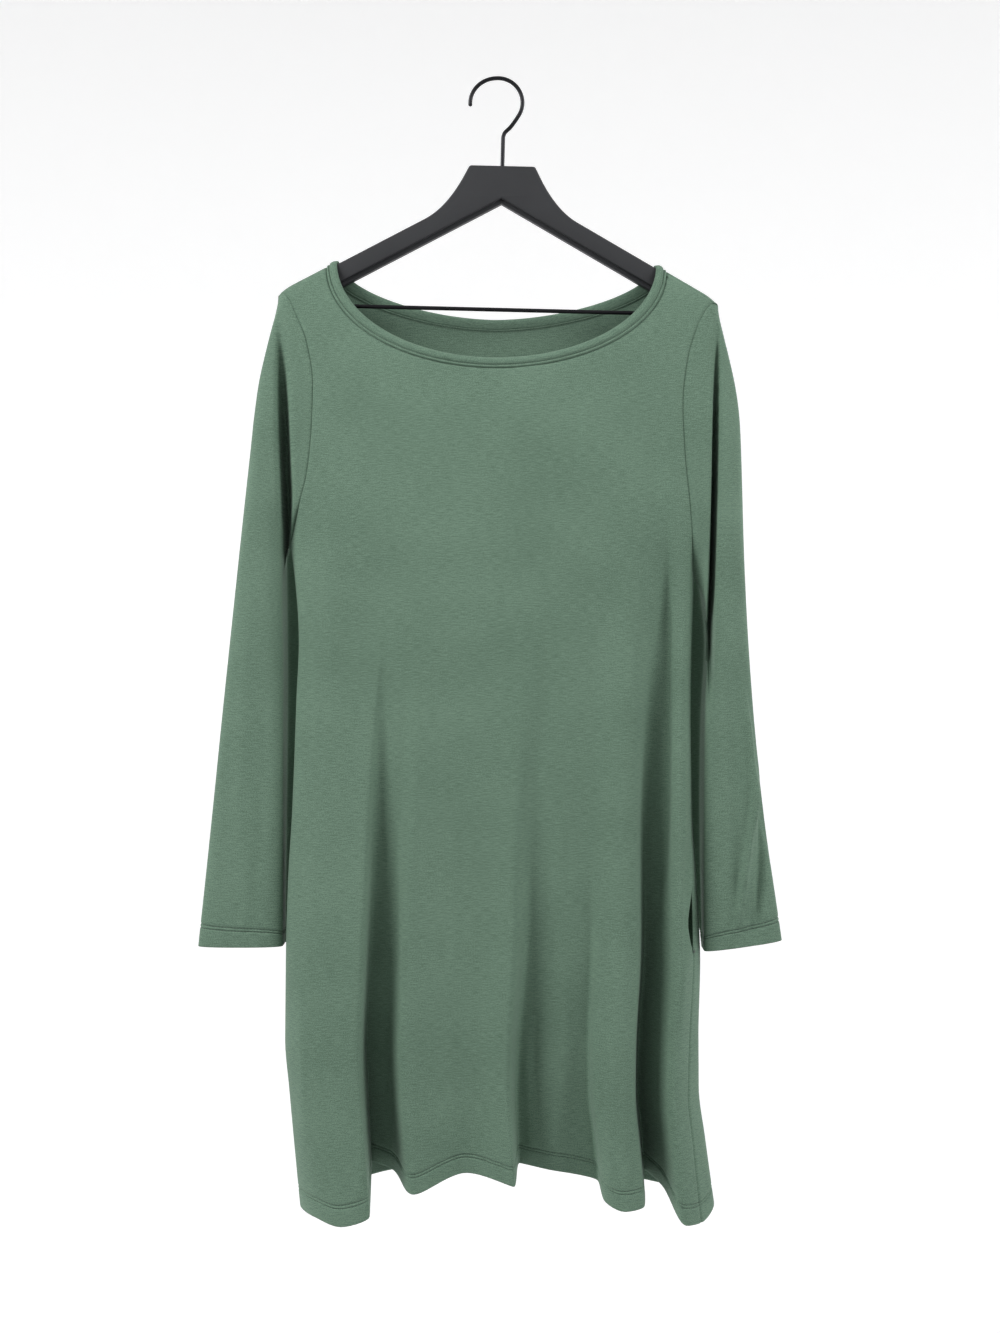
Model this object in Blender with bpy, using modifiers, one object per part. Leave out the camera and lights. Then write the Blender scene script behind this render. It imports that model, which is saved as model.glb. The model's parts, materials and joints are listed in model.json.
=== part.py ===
"""Swing dress on a hanger: a long-sleeved jersey dress with a boat neck, hung on a slim hanger.

Metres, +Z up. The front of the dress faces -Y, and the wearer's right is -X. The origin is the
inside top of the hanger's hook, where the whole thing hangs.

The cloth is one sheet that is worked out in three regions and then cut into its pieces:
the body below the underarms, a loop through one row of the FOLDS table for each fold;
the body above them, which is laid over the hanger's arms; and a tube for each sleeve.
"""
import math

import bpy
import numpy as np

# The cloth and its seams
CLOTH = 0.0012
SEAM_GAP = 0.0002
UNDERARM_GAP = 0.0005

# The hanger. Heights are measured down from the inside top of the hook, across is from its axis.
TILT = math.radians(1.4)
AXIS_X = 0.0065
ARM_ANGLE = math.radians(28.9)
ARM_TOP_APEX = -0.0995
ARM_DEPTH = 0.0212
ARM_END = 0.2045
PLATE_TOP = -0.0870
PLATE_HALF = 0.0340
PLATE_CORNER = 0.0035
PLATE_SIDE = ((0.0345, -0.0905), (0.0525, -0.1285), (0.0760, -0.1415))
HANGER_THICK = 0.012
HANGER_EDGE = 0.0030
WIRE_RADIUS = 0.0019
HOOK_RADIUS = 0.0244
HOOK_OPENS_BY = 0.0034
HOOK_ANGLES = (-30.0, 186.0)
HOOK_CENTRE_X = 0.0006
STEM_TOP = -0.0560
STEM_BOTTOM = -0.1010
STEM_BEND = (0.0008, 0.0020)
NECK_BEND = (0.0006, -0.0004)
NECK_BEND_AT = 0.4
BAR_HEIGHT = -0.2295
BAR_RADIUS = 0.0020
BAR_HALF = 0.1990
BORE_CLEAR = 0.0003

# The shoulders. The cloth lies over the arms, half a fold's width to each side of their top edge.
RIDGE_CLEAR = 0.0032
RIDGE_WIDTH = 0.0105
RIDGE_ENDS = 0.205
RIDGE_DROP = 17.0
TIP = (-0.2195, 0.2200)
UNDERARM = ((-0.2080, -0.4650), (0.1960, -0.4970))
SHOULDER_SEAM = (0.0004, 0.0090)

# The armholes: share of the way down, then how far each edge lies in from the shoulder's tip
ARMHOLE = (
    # share, front right, front left, back right, back left
    (0.00, 0.0000, 0.0000, 0.0000, 0.0000),
    (0.06, 0.0090, 0.0100, 0.0060, 0.0060),
    (0.15, 0.0180, 0.0210, 0.0120, 0.0130),
    (0.29, 0.0300, 0.0320, 0.0200, 0.0210),
    (0.45, 0.0360, 0.0370, 0.0240, 0.0260),
    (0.60, 0.0350, 0.0350, 0.0250, 0.0280),
    (0.76, 0.0310, 0.0300, 0.0240, 0.0280),
    (0.89, 0.0210, 0.0270, 0.0180, 0.0265),
    (1.00, 0.0115, 0.0240, 0.0115, 0.0240),
)

# The neck: half a flat oval in front and a shallower one behind
NECK_CENTRE = -0.0015
NECK_HALF = (0.1690, 0.1665)
NECK_LOW = (-0.2920, -0.2460)
NECK_ROUND = (2.0, 1.75)
BAND_WIDTH = 0.0100
BAND_STEP = 0.002
BAND_PROFILE = (
    # share of the width, height over the cloth's middle
    (0.03, -0.0005),
    (0.03, 0.0006),
    (0.22, 0.0014),
    (0.72, 0.0019),
    (0.97, 0.0012),
    (1.05, 0.0003),
    (0.94, -0.0004),
    (0.50, -0.0005),
)

# How far the chest stands out in front and behind, at the middle and at the armholes
CHEST_FRONT = (0.033, 0.012)
CHEST_BACK = (0.030, 0.010)
CHEST_ROUND = 2.4
CHEST_FALL = 2.7
CHEST_TOP = -0.190
TURN_ROWS = 0.16
RELAX_ROUNDS = 200
RELAX_STEP = 0.8

# A strip of each panel along its shoulder seams, and how much wider it is at the neck
STRIP = 0.015
STRIP_NECK = 0.012

# The body's side outlines
OUTLINE = (
    # height, wearer's right, wearer's left
    (-0.465, -0.2080, 0.1965),
    (-0.495, -0.2035, 0.1962),
    (-0.560, -0.1995, 0.1940),
    (-0.620, -0.2020, 0.1930),
    (-0.730, -0.2055, 0.1945),
    (-0.800, -0.2090, 0.1985),
    (-0.880, -0.2105, 0.2020),
    (-0.955, -0.2105, 0.2000),
    (-1.005, -0.2060, 0.2000),
    (-1.055, -0.2010, 0.2060),
    (-1.122, -0.1940, 0.2150),
)

# The body below the underarms, one row for each ridge, wall and valley of a fold, going round from
# the right side seam over the front to the left seam and home over the back
SEAM_R, SEAM_L = "right seam", "left seam"
FRONT_CORNERS = ("first lobe side", "fifth lobe")
BACK_CORNERS = ("back right side", "back left side")
FOLDS = (
    # name, x and y at the chest, x, y and height at the hem, height where it starts, how it grows
    (SEAM_R, -0.2080, 0.0040, -0.1920, 0.0160, -1.121, -0.465, 1.0),
    ("right edge", -0.2045, -0.0100, -0.1965, -0.0060, -1.121, -0.465, 1.0),
    ("first lobe side", -0.1920, -0.0190, -0.1780, -0.0440, -1.122, -0.465, 1.3),
    ("first lobe", -0.1760, -0.0230, -0.1520, -0.0580, -1.127, -0.465, 1.4),
    ("first lobe edge", -0.1430, -0.0280, -0.1280, -0.0460, -1.118, -0.465, 1.5),
    ("first valley", -0.1270, -0.0290, -0.1230, 0.0020, -1.091, -0.600, 1.6),
    ("first valley side", -0.1110, -0.0300, -0.1090, -0.0040, -1.094, -0.600, 1.6),
    ("second lobe", -0.0740, -0.0320, -0.0800, -0.0380, -1.102, -0.465, 1.3),
    ("second lobe hollow", -0.0280, -0.0330, -0.0270, -0.0240, -1.085, -0.700, 1.2),
    ("second lobe edge", 0.0180, -0.0330, 0.0140, -0.0460, -1.096, -0.465, 1.5),
    ("second valley", 0.0460, -0.0330, 0.0300, 0.0020, -1.084, -0.620, 1.6),
    ("third lobe", 0.0680, -0.0320, 0.0620, -0.0060, -1.083, -0.620, 1.4),
    ("third valley", 0.0880, -0.0310, 0.0940, -0.0040, -1.093, -0.800, 1.4),
    ("fourth lobe side", 0.1000, -0.0300, 0.1060, -0.0380, -1.108, -0.465, 1.8),
    ("fourth lobe", 0.1170, -0.0280, 0.1240, -0.0560, -1.113, -0.465, 1.4),
    ("fourth lobe edge", 0.1370, -0.0240, 0.1410, -0.0440, -1.109, -0.465, 1.2),
    ("fourth valley", 0.1670, -0.0200, 0.1550, 0.0140, -1.099, -0.440, 0.8),
    ("fifth lobe side", 0.1770, -0.0190, 0.1620, -0.0160, -1.105, -0.465, 1.0),
    ("fifth lobe", 0.1870, -0.0160, 0.1820, -0.0480, -1.129, -0.465, 1.2),
    (SEAM_L, 0.1955, -0.0030, 0.1980, -0.0360, -1.130, -0.700, 0.9),
    ("left edge", 0.1965, 0.0060, 0.2150, -0.0080, -1.120, -0.760, 1.1),
    ("back left side", 0.1880, 0.0150, 0.2020, 0.0240, -1.119, -0.465, 1.0),
    ("back first lobe", 0.1500, 0.0240, 0.1550, 0.0380, -1.111, -0.465, 1.0),
    ("back first valley", 0.1000, 0.0280, 0.1080, 0.0140, -1.098, -0.600, 1.2),
    ("back second lobe", 0.0400, 0.0300, 0.0430, 0.0400, -1.093, -0.465, 1.0),
    ("back second valley", -0.0300, 0.0300, -0.0280, 0.0140, -1.094, -0.650, 1.2),
    ("back third lobe", -0.1000, 0.0280, -0.1000, 0.0400, -1.100, -0.465, 1.0),
    ("back third valley", -0.1500, 0.0240, -0.1540, 0.0160, -1.106, -0.600, 1.2),
    ("back right side", -0.1900, 0.0160, -0.1840, 0.0320, -1.118, -0.465, 1.0),
)

# The sleeves, as the outer and inner edge of the tube and half its depth
SLEEVE_RIGHT = (
    # height, outer x, inner x, middle y, half depth
    (-0.218, -0.2200, -0.1900, 0.0000, 0.0100),
    (-0.230, -0.2275, -0.1900, 0.0000, 0.0150),
    (-0.255, -0.2345, -0.1950, -0.0010, 0.0190),
    (-0.330, -0.2420, -0.2050, -0.0005, 0.0215),
    (-0.465, -0.2570, -0.2150, 0.0010, 0.0200),
    (-0.620, -0.2730, -0.2140, -0.0025, 0.0170),
    (-0.780, -0.2890, -0.2145, -0.0060, 0.0140),
    (-0.865, -0.2980, -0.2145, -0.0070, 0.0120),
)
SLEEVE_LEFT = (
    # height, outer x, inner x, middle y, half depth
    (-0.222, 0.2200, 0.1900, 0.0000, 0.0100),
    (-0.230, 0.2245, 0.1900, 0.0000, 0.0150),
    (-0.255, 0.2320, 0.1920, -0.0010, 0.0190),
    (-0.330, 0.2400, 0.1980, -0.0020, 0.0220),
    (-0.497, 0.2455, 0.2040, -0.0040, 0.0200),
    (-0.560, 0.2490, 0.2100, -0.0050, 0.0190),
    (-0.640, 0.2545, 0.2060, -0.0060, 0.0170),
    (-0.730, 0.2640, 0.2050, -0.0060, 0.0150),
    (-0.865, 0.2830, 0.2055, -0.0070, 0.0120),
)
CUFF_HEIGHT = ((-0.8640, -0.8640), (-0.8580, -0.8690))
SLEEVE_SET_OUT = (0.0005, 0.0024)
SLEEVE_JOINS = (0.20, 0.080)
SLEEVE_JOIN_SPREAD = 0.15
SLEEVE_LEAVES = 2.2
SLEEVE_OVAL = 0.78
ARMPIT_CREASE = (
    # side, x and height at its top, x and height at its foot, share of the depth, half width
    (-1, -0.2190, -0.250, -0.2125, -0.520, 0.75, 0.0080),
    (1, 0.2160, -0.260, 0.2120, -0.540, 0.60, 0.0080),
)
CREASE_GROWS, CREASE_ENDS, CREASE_FADES = 0.5, 1.25, 0.4
CREASE_OFF_SEAM = 0.05

# The pockets in the side seams
POCKET_TOP = -0.774
POCKET_LOW = -0.869
SLIT_FRONT = ((0.0004, -0.0004), (-0.0015, -0.0030))
SLIT_BACK = ((0.0004, 0.0006), (0.0015, 0.0040))
SLIT_SPREAD = 0.020
BAG_DROP = 0.055
BAG_OVAL = 0.5
BAG_SEAT = ((0.0017, -0.0014), (-0.0012, 0.0006))
BAG_LEAVES_SEAM = 0.3
BAG_PATH = (
    # share of the way in, right bag x and y, left bag x and y, half height, half gap. The first
    # row's x and y are the seam's own
    (0.00, 0.0000, 0.0000, 0.0000, 0.0000, 0.0440, 0.0028),
    (0.06, -0.1960, 0.0086, 0.1850, -0.0095, 0.0455, 0.0036),
    (0.15, -0.1800, 0.0085, 0.1745, 0.0010, 0.0500, 0.0044),
    (0.30, -0.1560, 0.0085, 0.1570, 0.0150, 0.0620, 0.0048),
    (0.55, -0.1220, 0.0070, 0.1180, 0.0100, 0.0740, 0.0046),
    (0.85, -0.0850, 0.0030, 0.0780, 0.0030, 0.0640, 0.0034),
    (1.00, -0.0650, 0.0020, 0.0620, 0.0020, 0.0300, 0.0018),
)

# How finely the solids are cut
COLUMN = 0.024
SIDE_COLUMN = 0.012
SEAM_COLUMNS = (0.0025, 0.0055)
CORNER_COLUMNS = (0.0035, 0.0070, 0.0120)
LOWER_ROWS = 10
UPPER_ROWS = (0.0, 0.05, 0.12, 0.22, 0.35, 0.50, 0.65, 0.79, 0.91, 1.0)
STRIP_ROWS = (0.2, 0.4, 0.6, 0.8, 1.0)
SLEEVE_ROWS = 14
SLEEVE_ROW_GROWTH = 1.25
BAG_COLUMNS = 14

GREEN = (0.145, 0.225, 0.175)
CHARCOAL = (0.042, 0.042, 0.050)
BLACK_METAL = (0.020, 0.020, 0.022)


def ease(share):
    """A step from 0 to 1 with level ends."""
    share = np.clip(share, 0.0, 1.0)
    return share * share * (3.0 - 2.0 * share)


def through(at, knots, rows):
    """The smooth curve through a table's rows, with no overshoot: level where the rows turn back."""
    knots = np.asarray(knots, float)
    rows = np.asarray(rows, float)
    run = np.diff(knots).reshape((-1,) + (1,) * (rows.ndim - 1))
    rise = np.diff(rows, axis=0) / run
    before, after = rise[:-1], rise[1:]
    same_way = before * after > 0
    weight = (2 * run[1:] + run[:-1], run[1:] + 2 * run[:-1])
    safe = np.where(same_way, before, 1.0), np.where(same_way, after, 1.0)
    mean = (weight[0] + weight[1]) / (weight[0] / safe[0] + weight[1] / safe[1])
    slope = np.concatenate((rise[:1], np.where(same_way, mean, 0.0), rise[-1:]))
    at = np.asarray(at, float)
    piece = np.clip(np.searchsorted(knots, at, side="right") - 1, 0, len(run) - 1)
    width = run[piece]
    t = (at - knots[piece]).reshape(width.shape) / width
    start, end = rows[piece], rows[piece + 1]
    return (start * (1 + 2 * t) * (1 - t) ** 2 + end * t * t * (3 - 2 * t)
            + width * t * (1 - t) * (slope[piece] * (1 - t) - slope[piece + 1] * t))


def column(table, number):
    return np.array([row[number] for row in table], float)


def evenly(points, shares):
    """Points at the given shares of a polyline's length."""
    length = np.concatenate(([0.0], np.cumsum(np.linalg.norm(np.diff(points, axis=0), axis=1))))
    at = np.asarray(shares) * length[-1]
    return np.stack([np.interp(at, length, points[:, axis]) for axis in range(points.shape[1])], axis=1)


def hanger_axis_x(z):
    """Where the hanger's own axis stands at a height, with the hanger tilted about its hook."""
    return AXIS_X * math.cos(TILT) + z * math.tan(TILT)


def ridge_height(x):
    """Height of the shoulders' top line, just over the arms and rounded off at their ends."""
    apex = ARM_TOP_APEX - AXIS_X * math.sin(TILT)
    across = np.asarray(x) - hanger_axis_x(ARM_TOP_APEX)
    slope = np.where(across < 0, math.tan(ARM_ANGLE - TILT), math.tan(ARM_ANGLE + TILT))
    past = np.maximum(np.abs(x) - RIDGE_ENDS, 0.0)
    return apex + RIDGE_CLEAR - slope * np.abs(across) - RIDGE_DROP * past ** 2


def hung_from_ridge(x, z):
    """How far down the laid cloth a height is, measured from the ridge."""
    drop = np.maximum(ridge_height(x) - z, 0.0)
    return np.sqrt((drop + RIDGE_WIDTH) ** 2 - RIDGE_WIDTH ** 2)


def chest_depth(x, sizes):
    """How far the chest stands out across the body."""
    middle, edge = sizes
    return middle - (middle - edge) * np.clip(np.abs(x) / TIP[1], 0.0, 1.0) ** CHEST_ROUND


def lay(x, down):
    """Points of the cloth laid over the arms. down is positive in front and negative behind."""
    over = np.sqrt(down ** 2 + RIDGE_WIDTH ** 2)
    z = ridge_height(x) - (over - RIDGE_WIDTH)
    depth = np.where(down > 0, chest_depth(x, CHEST_FRONT), chest_depth(x, CHEST_BACK))
    fall = np.clip((CHEST_TOP - z) / (CHEST_TOP - UNDERARM[0][1]), 0.0, 1.0)
    swell = 1.0 - (1.0 - fall) ** CHEST_FALL
    y = -down / over * (RIDGE_WIDTH + (depth - RIDGE_WIDTH) * swell)
    return np.stack((x, y, z), axis=-1)


def chest_height(x):
    """Height of the line between the underarms."""
    (right, low_right), (left, low_left) = UNDERARM
    return low_right + (low_left - low_right) * (x - right) / (left - right)


def neck_edge(turn, inset=0.0):
    """x and way down of the neck's edge. turn is 0 at the left shoulder, a quarter at the front."""
    turn = np.asarray(turn, float)
    angle = 2 * np.pi * turn
    front = np.sin(angle) >= 0
    half = np.where(front, NECK_HALF[0], (NECK_HALF[0] + NECK_HALF[1]) / 2) - inset
    behind = np.clip(-np.sin(angle), 0.0, 1.0)
    half = half - (half - (NECK_HALF[1] - inset)) * behind * np.where(front, 0.0, 1.0)
    power = np.where(front, NECK_ROUND[0], NECK_ROUND[1])
    x = NECK_CENTRE + half * np.cos(angle)
    low = np.where(front, NECK_LOW[0], NECK_LOW[1]) + inset
    end = NECK_CENTRE + half * np.sign(np.cos(angle) + 1e-9)
    top = ridge_height(end)
    share = (1.0 - np.abs(np.cos(angle)) ** power) ** (1.0 / power)
    z = np.minimum(top - (top - low) * share, ridge_height(x))
    down = hung_from_ridge(x, z) * np.where(front, 1.0, -1.0)
    return x, down


def underarm_down(side):
    """How far down the laid cloth the underarm is."""
    return float(hung_from_ridge(*UNDERARM[0 if side < 0 else 1]))


def armhole_x(down, side):
    """Where an armhole's edge lies at a way down, which is negative behind."""
    which = 0 if side < 0 else 1
    share = np.abs(down) / underarm_down(side)
    in_front = through(share, column(ARMHOLE, 0), column(ARMHOLE, 1 + which))
    behind = through(share, column(ARMHOLE, 0), column(ARMHOLE, 3 + which))
    return TIP[which] - side * np.where(down > 0, in_front, behind)


def fold_rows(heights):
    """The ridges and valleys of the body at rows from the chest (0) to the hem (1)."""
    table = {name: np.array(row) for name, *row in FOLDS}
    rows = np.stack(list(table.values()))
    chest_x, chest_y, hem_x, hem_y, hem_z, start, power = rows.T[:, :, None]
    z = chest_height(chest_x) + heights * (hem_z - chest_height(chest_x))
    start = np.minimum(start, chest_height(chest_x))
    grown = np.clip((start - z) / (start - hem_z), 0.0, 1.0) ** power
    heights_table = column(OUTLINE, 0)[::-1]
    edges = through(z.ravel(), heights_table, np.array(OUTLINE)[::-1, 1:]).reshape(z.shape + (2,))
    right, left = edges[..., 0], edges[..., 1]
    first, last = OUTLINE[0], OUTLINE[-1]
    share_chest = (chest_x - first[1]) / (first[2] - first[1])
    share_hem = (hem_x - last[1]) / (last[2] - last[1])
    x = right + (share_chest + (share_hem - share_chest) * grown) * (left - right)
    y = chest_y + (hem_y - chest_y) * grown
    return np.stack((x, y, z), axis=-1)


def fold_knots():
    """Where each row of FOLDS lies round the hem, by length, and the hem's whole length."""
    hem = np.array([(row[3], row[4]) for row in FOLDS])
    steps = np.linalg.norm(np.roll(hem, -1, axis=0) - hem, axis=1)
    return np.concatenate(([0.0], np.cumsum(steps)))


def loop(around, heights):
    """Points of the body below the underarms: rows of heights, columns round the loop."""
    knots = fold_knots()
    rows = fold_rows(np.asarray(heights, float))
    rows = np.concatenate((rows, rows[:1]))
    padded = np.concatenate((knots[-4:-1] - knots[-1], knots, knots[1:4] + knots[-1]))
    rows = np.concatenate((rows[-4:-1], rows, rows[1:4]))
    return through(around, padded, rows).swapaxes(0, 1)


def knot_of(name):
    return fold_knots()[[row[0] for row in FOLDS].index(name)]


def panel_columns(front, spacing, side_spacing):
    """Places round the loop for a panel's columns, closer together beside its seams."""
    knots = fold_knots()
    seam = knot_of(SEAM_L)
    inside = knots[knots <= seam] if front else knots[knots >= seam]
    low, high = sorted(knot_of(name) for name in (FRONT_CORNERS if front else BACK_CORNERS))
    places = [low + step for step in CORNER_COLUMNS] + [high - step for step in CORNER_COLUMNS]
    for first, last in zip(inside[:-1], inside[1:]):
        beside = first == inside[0] or last == inside[-1]
        count = math.ceil((last - first) / (side_spacing if beside else spacing))
        places.extend(np.linspace(first, last, count, endpoint=False))
    places += [inside[0] + step for step in SEAM_COLUMNS] + [inside[-1] - step for step in SEAM_COLUMNS]
    return np.array(sorted(places + [inside[-1]]))


def neck_turns(front, seams, inset):
    """The turns at which the shoulder seams meet the neck, the right one first."""
    turns = np.linspace(-0.2, 0.2, 4001)
    right = 0.5 - np.interp(seams[0], neck_edge(0.5 - turns, inset)[1], turns)
    left = np.interp(seams[1], neck_edge(turns, inset)[1], turns)
    return (right, left) if front else (right, left + 1.0)


def top_edge(share, corners, front, seams, inset=0.0):
    """A panel's top from right to left: seam, neck and seam, as x, way down and turn."""
    turns = np.linspace(*neck_turns(front, seams, inset), 2000)
    neck = np.stack((*neck_edge(turns, inset), turns), axis=1)
    in_neck = np.clip((share - corners[0]) / (corners[1] - corners[0]), 0.0, 1.0)
    points = evenly(neck, in_neck)
    past_right = np.clip(1 - share / corners[0], 0.0, 1.0)
    past_left = np.clip((share - corners[1]) / (1 - corners[1]), 0.0, 1.0)
    for seam, side, out in ((seams[0], -1, past_right), (seams[1], 1, past_left)):
        end = neck[0 if side < 0 else -1, 0]
        points[:, 0] += (armhole_x(seam, side) - end) * out
        points[out > 0, 1] = seam
    return points


def side_edge(rows, side, front):
    """A panel's armhole edge from the underarm (0) to its hem at the shoulders (1)."""
    sign = 1 if front else -1
    lowest = underarm_down(side) * sign
    down = lowest + (STRIP * sign - lowest) * np.asarray(rows)
    return np.stack((armhole_x(down, side), down), axis=1)


def strip_edge(strips, side, front):
    """The armhole's edge on from there to the shoulder seam, with the same way down as the strips."""
    start = STRIP * (1 if front else -1)
    down = start + (SHOULDER_SEAM[0 if side < 0 else 1] - start) * np.asarray(strips)
    return np.stack((armhole_x(down, side), down), axis=1)


def turn_fade(rows):
    """How much of the turn into the side seams is left, going up from the underarms."""
    return 1.0 - ease(rows / TURN_ROWS)


def panel_shares(around, front):
    """Shares of the way across a panel, right to left, of its columns and of the neck's corners."""
    around = around if front else around[::-1]
    ends = [knot_of(name) for name in (FRONT_CORNERS if front else BACK_CORNERS)]
    share = (around - around[0]) / (around[-1] - around[0])
    return share, [(end - around[0]) / (around[-1] - around[0]) for end in ends]


def relax(points, share, rows):
    """Evens a grid of flat points out between its edges, so that none of its cells folds over.

    Each point moves to where the shares and rows, seen as functions of the place, are harmonic.
    """
    step_e = (share[2:] - share[1:-1])[None, :, None]
    step_w = (share[1:-1] - share[:-2])[None, :, None]
    step_n = (rows[2:] - rows[1:-1])[:, None, None]
    step_s = (rows[1:-1] - rows[:-2])[:, None, None]
    for _ in range(RELAX_ROUNDS):
        east, west = points[1:-1, 2:], points[1:-1, :-2]
        north, south = points[2:, 1:-1], points[:-2, 1:-1]
        across = (east - west) / (step_e + step_w)
        along = (north - south) / (step_n + step_s)
        mixed = (points[2:, 2:] - points[2:, :-2] - points[:-2, 2:] + points[:-2, :-2]) / (
            (step_e + step_w) * (step_n + step_s))
        alpha = (along ** 2).sum(axis=-1, keepdims=True)
        gamma = (across ** 2).sum(axis=-1, keepdims=True)
        beta = (across * along).sum(axis=-1, keepdims=True)
        pull = 2 * alpha * (east / step_e + west / step_w) / (step_e + step_w)
        pull += 2 * gamma * (north / step_n + south / step_s) / (step_n + step_s)
        pull -= 2 * beta * mixed
        weight = 2 * alpha / (step_e * step_w) + 2 * gamma / (step_n * step_s)
        points[1:-1, 1:-1] += RELAX_STEP * (pull / weight - points[1:-1, 1:-1])
    return points


def upper_panel(around, rows, strips, front):
    """Points of a panel above the underarms, blended between its four edges."""
    chest = loop(around, [0.0])[0]
    if not front:
        chest = chest[::-1]
    sign = 1.0 if front else -1.0
    low = np.stack((chest[:, 0], sign * hung_from_ridge(chest[:, 0], chest[:, 2])), axis=1)
    share, corners = panel_shares(around, front)
    inner = top_edge(share, corners, front, (STRIP * sign, STRIP * sign), -STRIP_NECK)[:, :2]
    outer = top_edge(share, corners, front, SHOULDER_SEAM)[:, :2]
    rows = np.asarray(rows)
    t = rows[:, None, None]
    flat = (1 - t) * low + t * inner
    share = share[None, :, None]
    right = side_edge(rows, -1, front)[:, None, :] - flat[:, :1]
    left = side_edge(rows, 1, front)[:, None, :] - flat[:, -1:]
    flat = relax(flat + (1 - share) * right + share * left, share[0, :, 0], rows)
    strips = np.asarray(strips)
    over = inner + (outer - inner) * strips[:, None, None]
    for end, side in ((0, -1), (-1, 1)):
        over[:, end] = strip_edge(strips, side, front)
    turned = chest - lay(low[:, 0], low[:, 1])
    below = lay(flat[..., 0], flat[..., 1]) + turned * turn_fade(rows)[:, None, None]
    points = np.concatenate((below, lay(over[..., 0], over[..., 1])))
    return points if front else points[:, ::-1]


def slit(points, around, front):
    """Opens the side seams a little along the pockets."""
    knots = (knot_of(SEAM_R), knot_of(SEAM_L))
    moves = SLIT_FRONT if front else SLIT_BACK
    for which in (0, 1):
        edge = around[0] if (which == 0) == front else around[-1]
        near = np.clip(1 - np.abs(around - edge) / SLIT_SPREAD, 0.0, 1.0)
        along = np.clip((POCKET_TOP - points[..., 2]) / (POCKET_TOP - POCKET_LOW), 0.0, 1.0)
        open_here = np.sin(np.pi * along) * ease(near)
        points[..., 0] += moves[which][0] * open_here
        points[..., 1] += moves[which][1] * open_here
    return points


def panel(front):
    """Points of the whole front or back, rows from the hem up and columns from seam to seam."""
    around = panel_columns(front, COLUMN, SIDE_COLUMN)
    lower = loop(around, np.linspace(1.0, 0.0, LOWER_ROWS + 1))
    lower = slit(lower, around, front)
    upper = upper_panel(around, UPPER_ROWS, STRIP_ROWS, front)
    return np.concatenate((lower[:-1], upper))


def draw_in(points):
    """Pulls a panel's top and side edges in, square to themselves, for its seams."""
    points = points.copy()
    gaps = np.full((len(points), 1), SEAM_GAP)
    gaps[LOWER_ROWS] = UNDERARM_GAP
    for here, inner, gap in ((np.s_[-1], np.s_[-2], SEAM_GAP), (np.s_[:, 0], np.s_[:, 1], gaps),
                             (np.s_[:, -1], np.s_[:, -2], gaps)):
        along = np.gradient(points[here], axis=0)
        along /= np.linalg.norm(along, axis=1, keepdims=True)
        way = points[inner] - points[here]
        way -= along * (way * along).sum(axis=1, keepdims=True)
        points[here] += way / np.linalg.norm(way, axis=1, keepdims=True) * gap
    return points


def sleeve(side):
    """Points of a sleeve, rows from armhole to cuff and columns round from its outer line."""
    which = 0 if side < 0 else 1
    table = (SLEEVE_RIGHT, SLEEVE_LEFT)[which]
    lowest = underarm_down(side)
    front = np.concatenate([side_edge(UPPER_ROWS, side, True), strip_edge(STRIP_ROWS, side, True)])
    back = np.concatenate([side_edge(UPPER_ROWS, side, False), strip_edge(STRIP_ROWS, side, False)])
    down = np.concatenate((front[::-1, 1], back[1:-1, 1]))
    turn = down / (2 * lowest) % 1.0
    start = lay(armhole_x(down, side), down)
    rise = (lowest - np.abs(down)) / (lowest - STRIP)
    chest = loop([knot_of(SEAM_R if side < 0 else SEAM_L)], [0.0])[0, 0]
    underarm = lay(armhole_x(np.array((lowest, -lowest)), side), np.array((lowest, -lowest)))
    turned = chest - underarm[np.where(down > 0, 0, 1)]
    start += turned * turn_fade(rise)[:, None]
    under = np.exp(-((turn - 0.5) / SLEEVE_JOIN_SPREAD) ** 2)
    start[:, 0] += side * (SLEEVE_SET_OUT[0] + (SLEEVE_SET_OUT[1] - SLEEVE_SET_OUT[0]) * under ** 3)

    angle = 2 * np.pi * turn
    across = np.sign(np.cos(angle)) * np.abs(np.cos(angle)) ** SLEEVE_OVAL
    forward = np.sign(np.sin(angle)) * np.abs(np.sin(angle)) ** SLEEVE_OVAL
    outer_cuff, inner_cuff = CUFF_HEIGHT[which]
    cuff = (outer_cuff + inner_cuff) / 2 + (outer_cuff - inner_cuff) / 2 * across
    rows = (np.arange(SLEEVE_ROWS + 1) / SLEEVE_ROWS)[:, None] ** SLEEVE_ROW_GROWTH
    z = start[:, 2] + (cuff - start[:, 2]) * rows
    shape = through(z.ravel(), column(table, 0)[::-1], np.array(table)[::-1, 1:])
    outer, inner, middle, depth = shape.reshape(z.shape + (4,)).transpose(2, 0, 1)
    tube_x = (outer + inner) / 2 + (outer - inner) / 2 * across
    tube_y = middle - depth * forward
    joins = SLEEVE_JOINS[0] + (SLEEVE_JOINS[1] - SLEEVE_JOINS[0]) * under
    mix = 1.0 - np.clip(1.0 - rows / joins, 0.0, 1.0) ** SLEEVE_LEAVES
    x = start[:, 0] + (tube_x - start[:, 0]) * mix
    y = start[:, 1] + (tube_y - start[:, 1]) * mix

    for crease_side, top_x, top_z, low_x, low_z, deep, half in ARMPIT_CREASE:
        if crease_side != side:
            continue
        down_it = (top_z - z) / (top_z - low_z)
        line = top_x + (low_x - top_x) * down_it
        along = ease(down_it / CREASE_GROWS) * ease((CREASE_ENDS - down_it) / CREASE_FADES)
        front = (turn > 0.02) & (turn < 0.5)
        into = deep * along * np.exp(-((x - line) / half) ** 2) * ease(rows / CREASE_OFF_SEAM)
        y = y + into * np.maximum(middle - y, 0.0) * front
    return np.stack((x, y, z), axis=-1)


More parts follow.
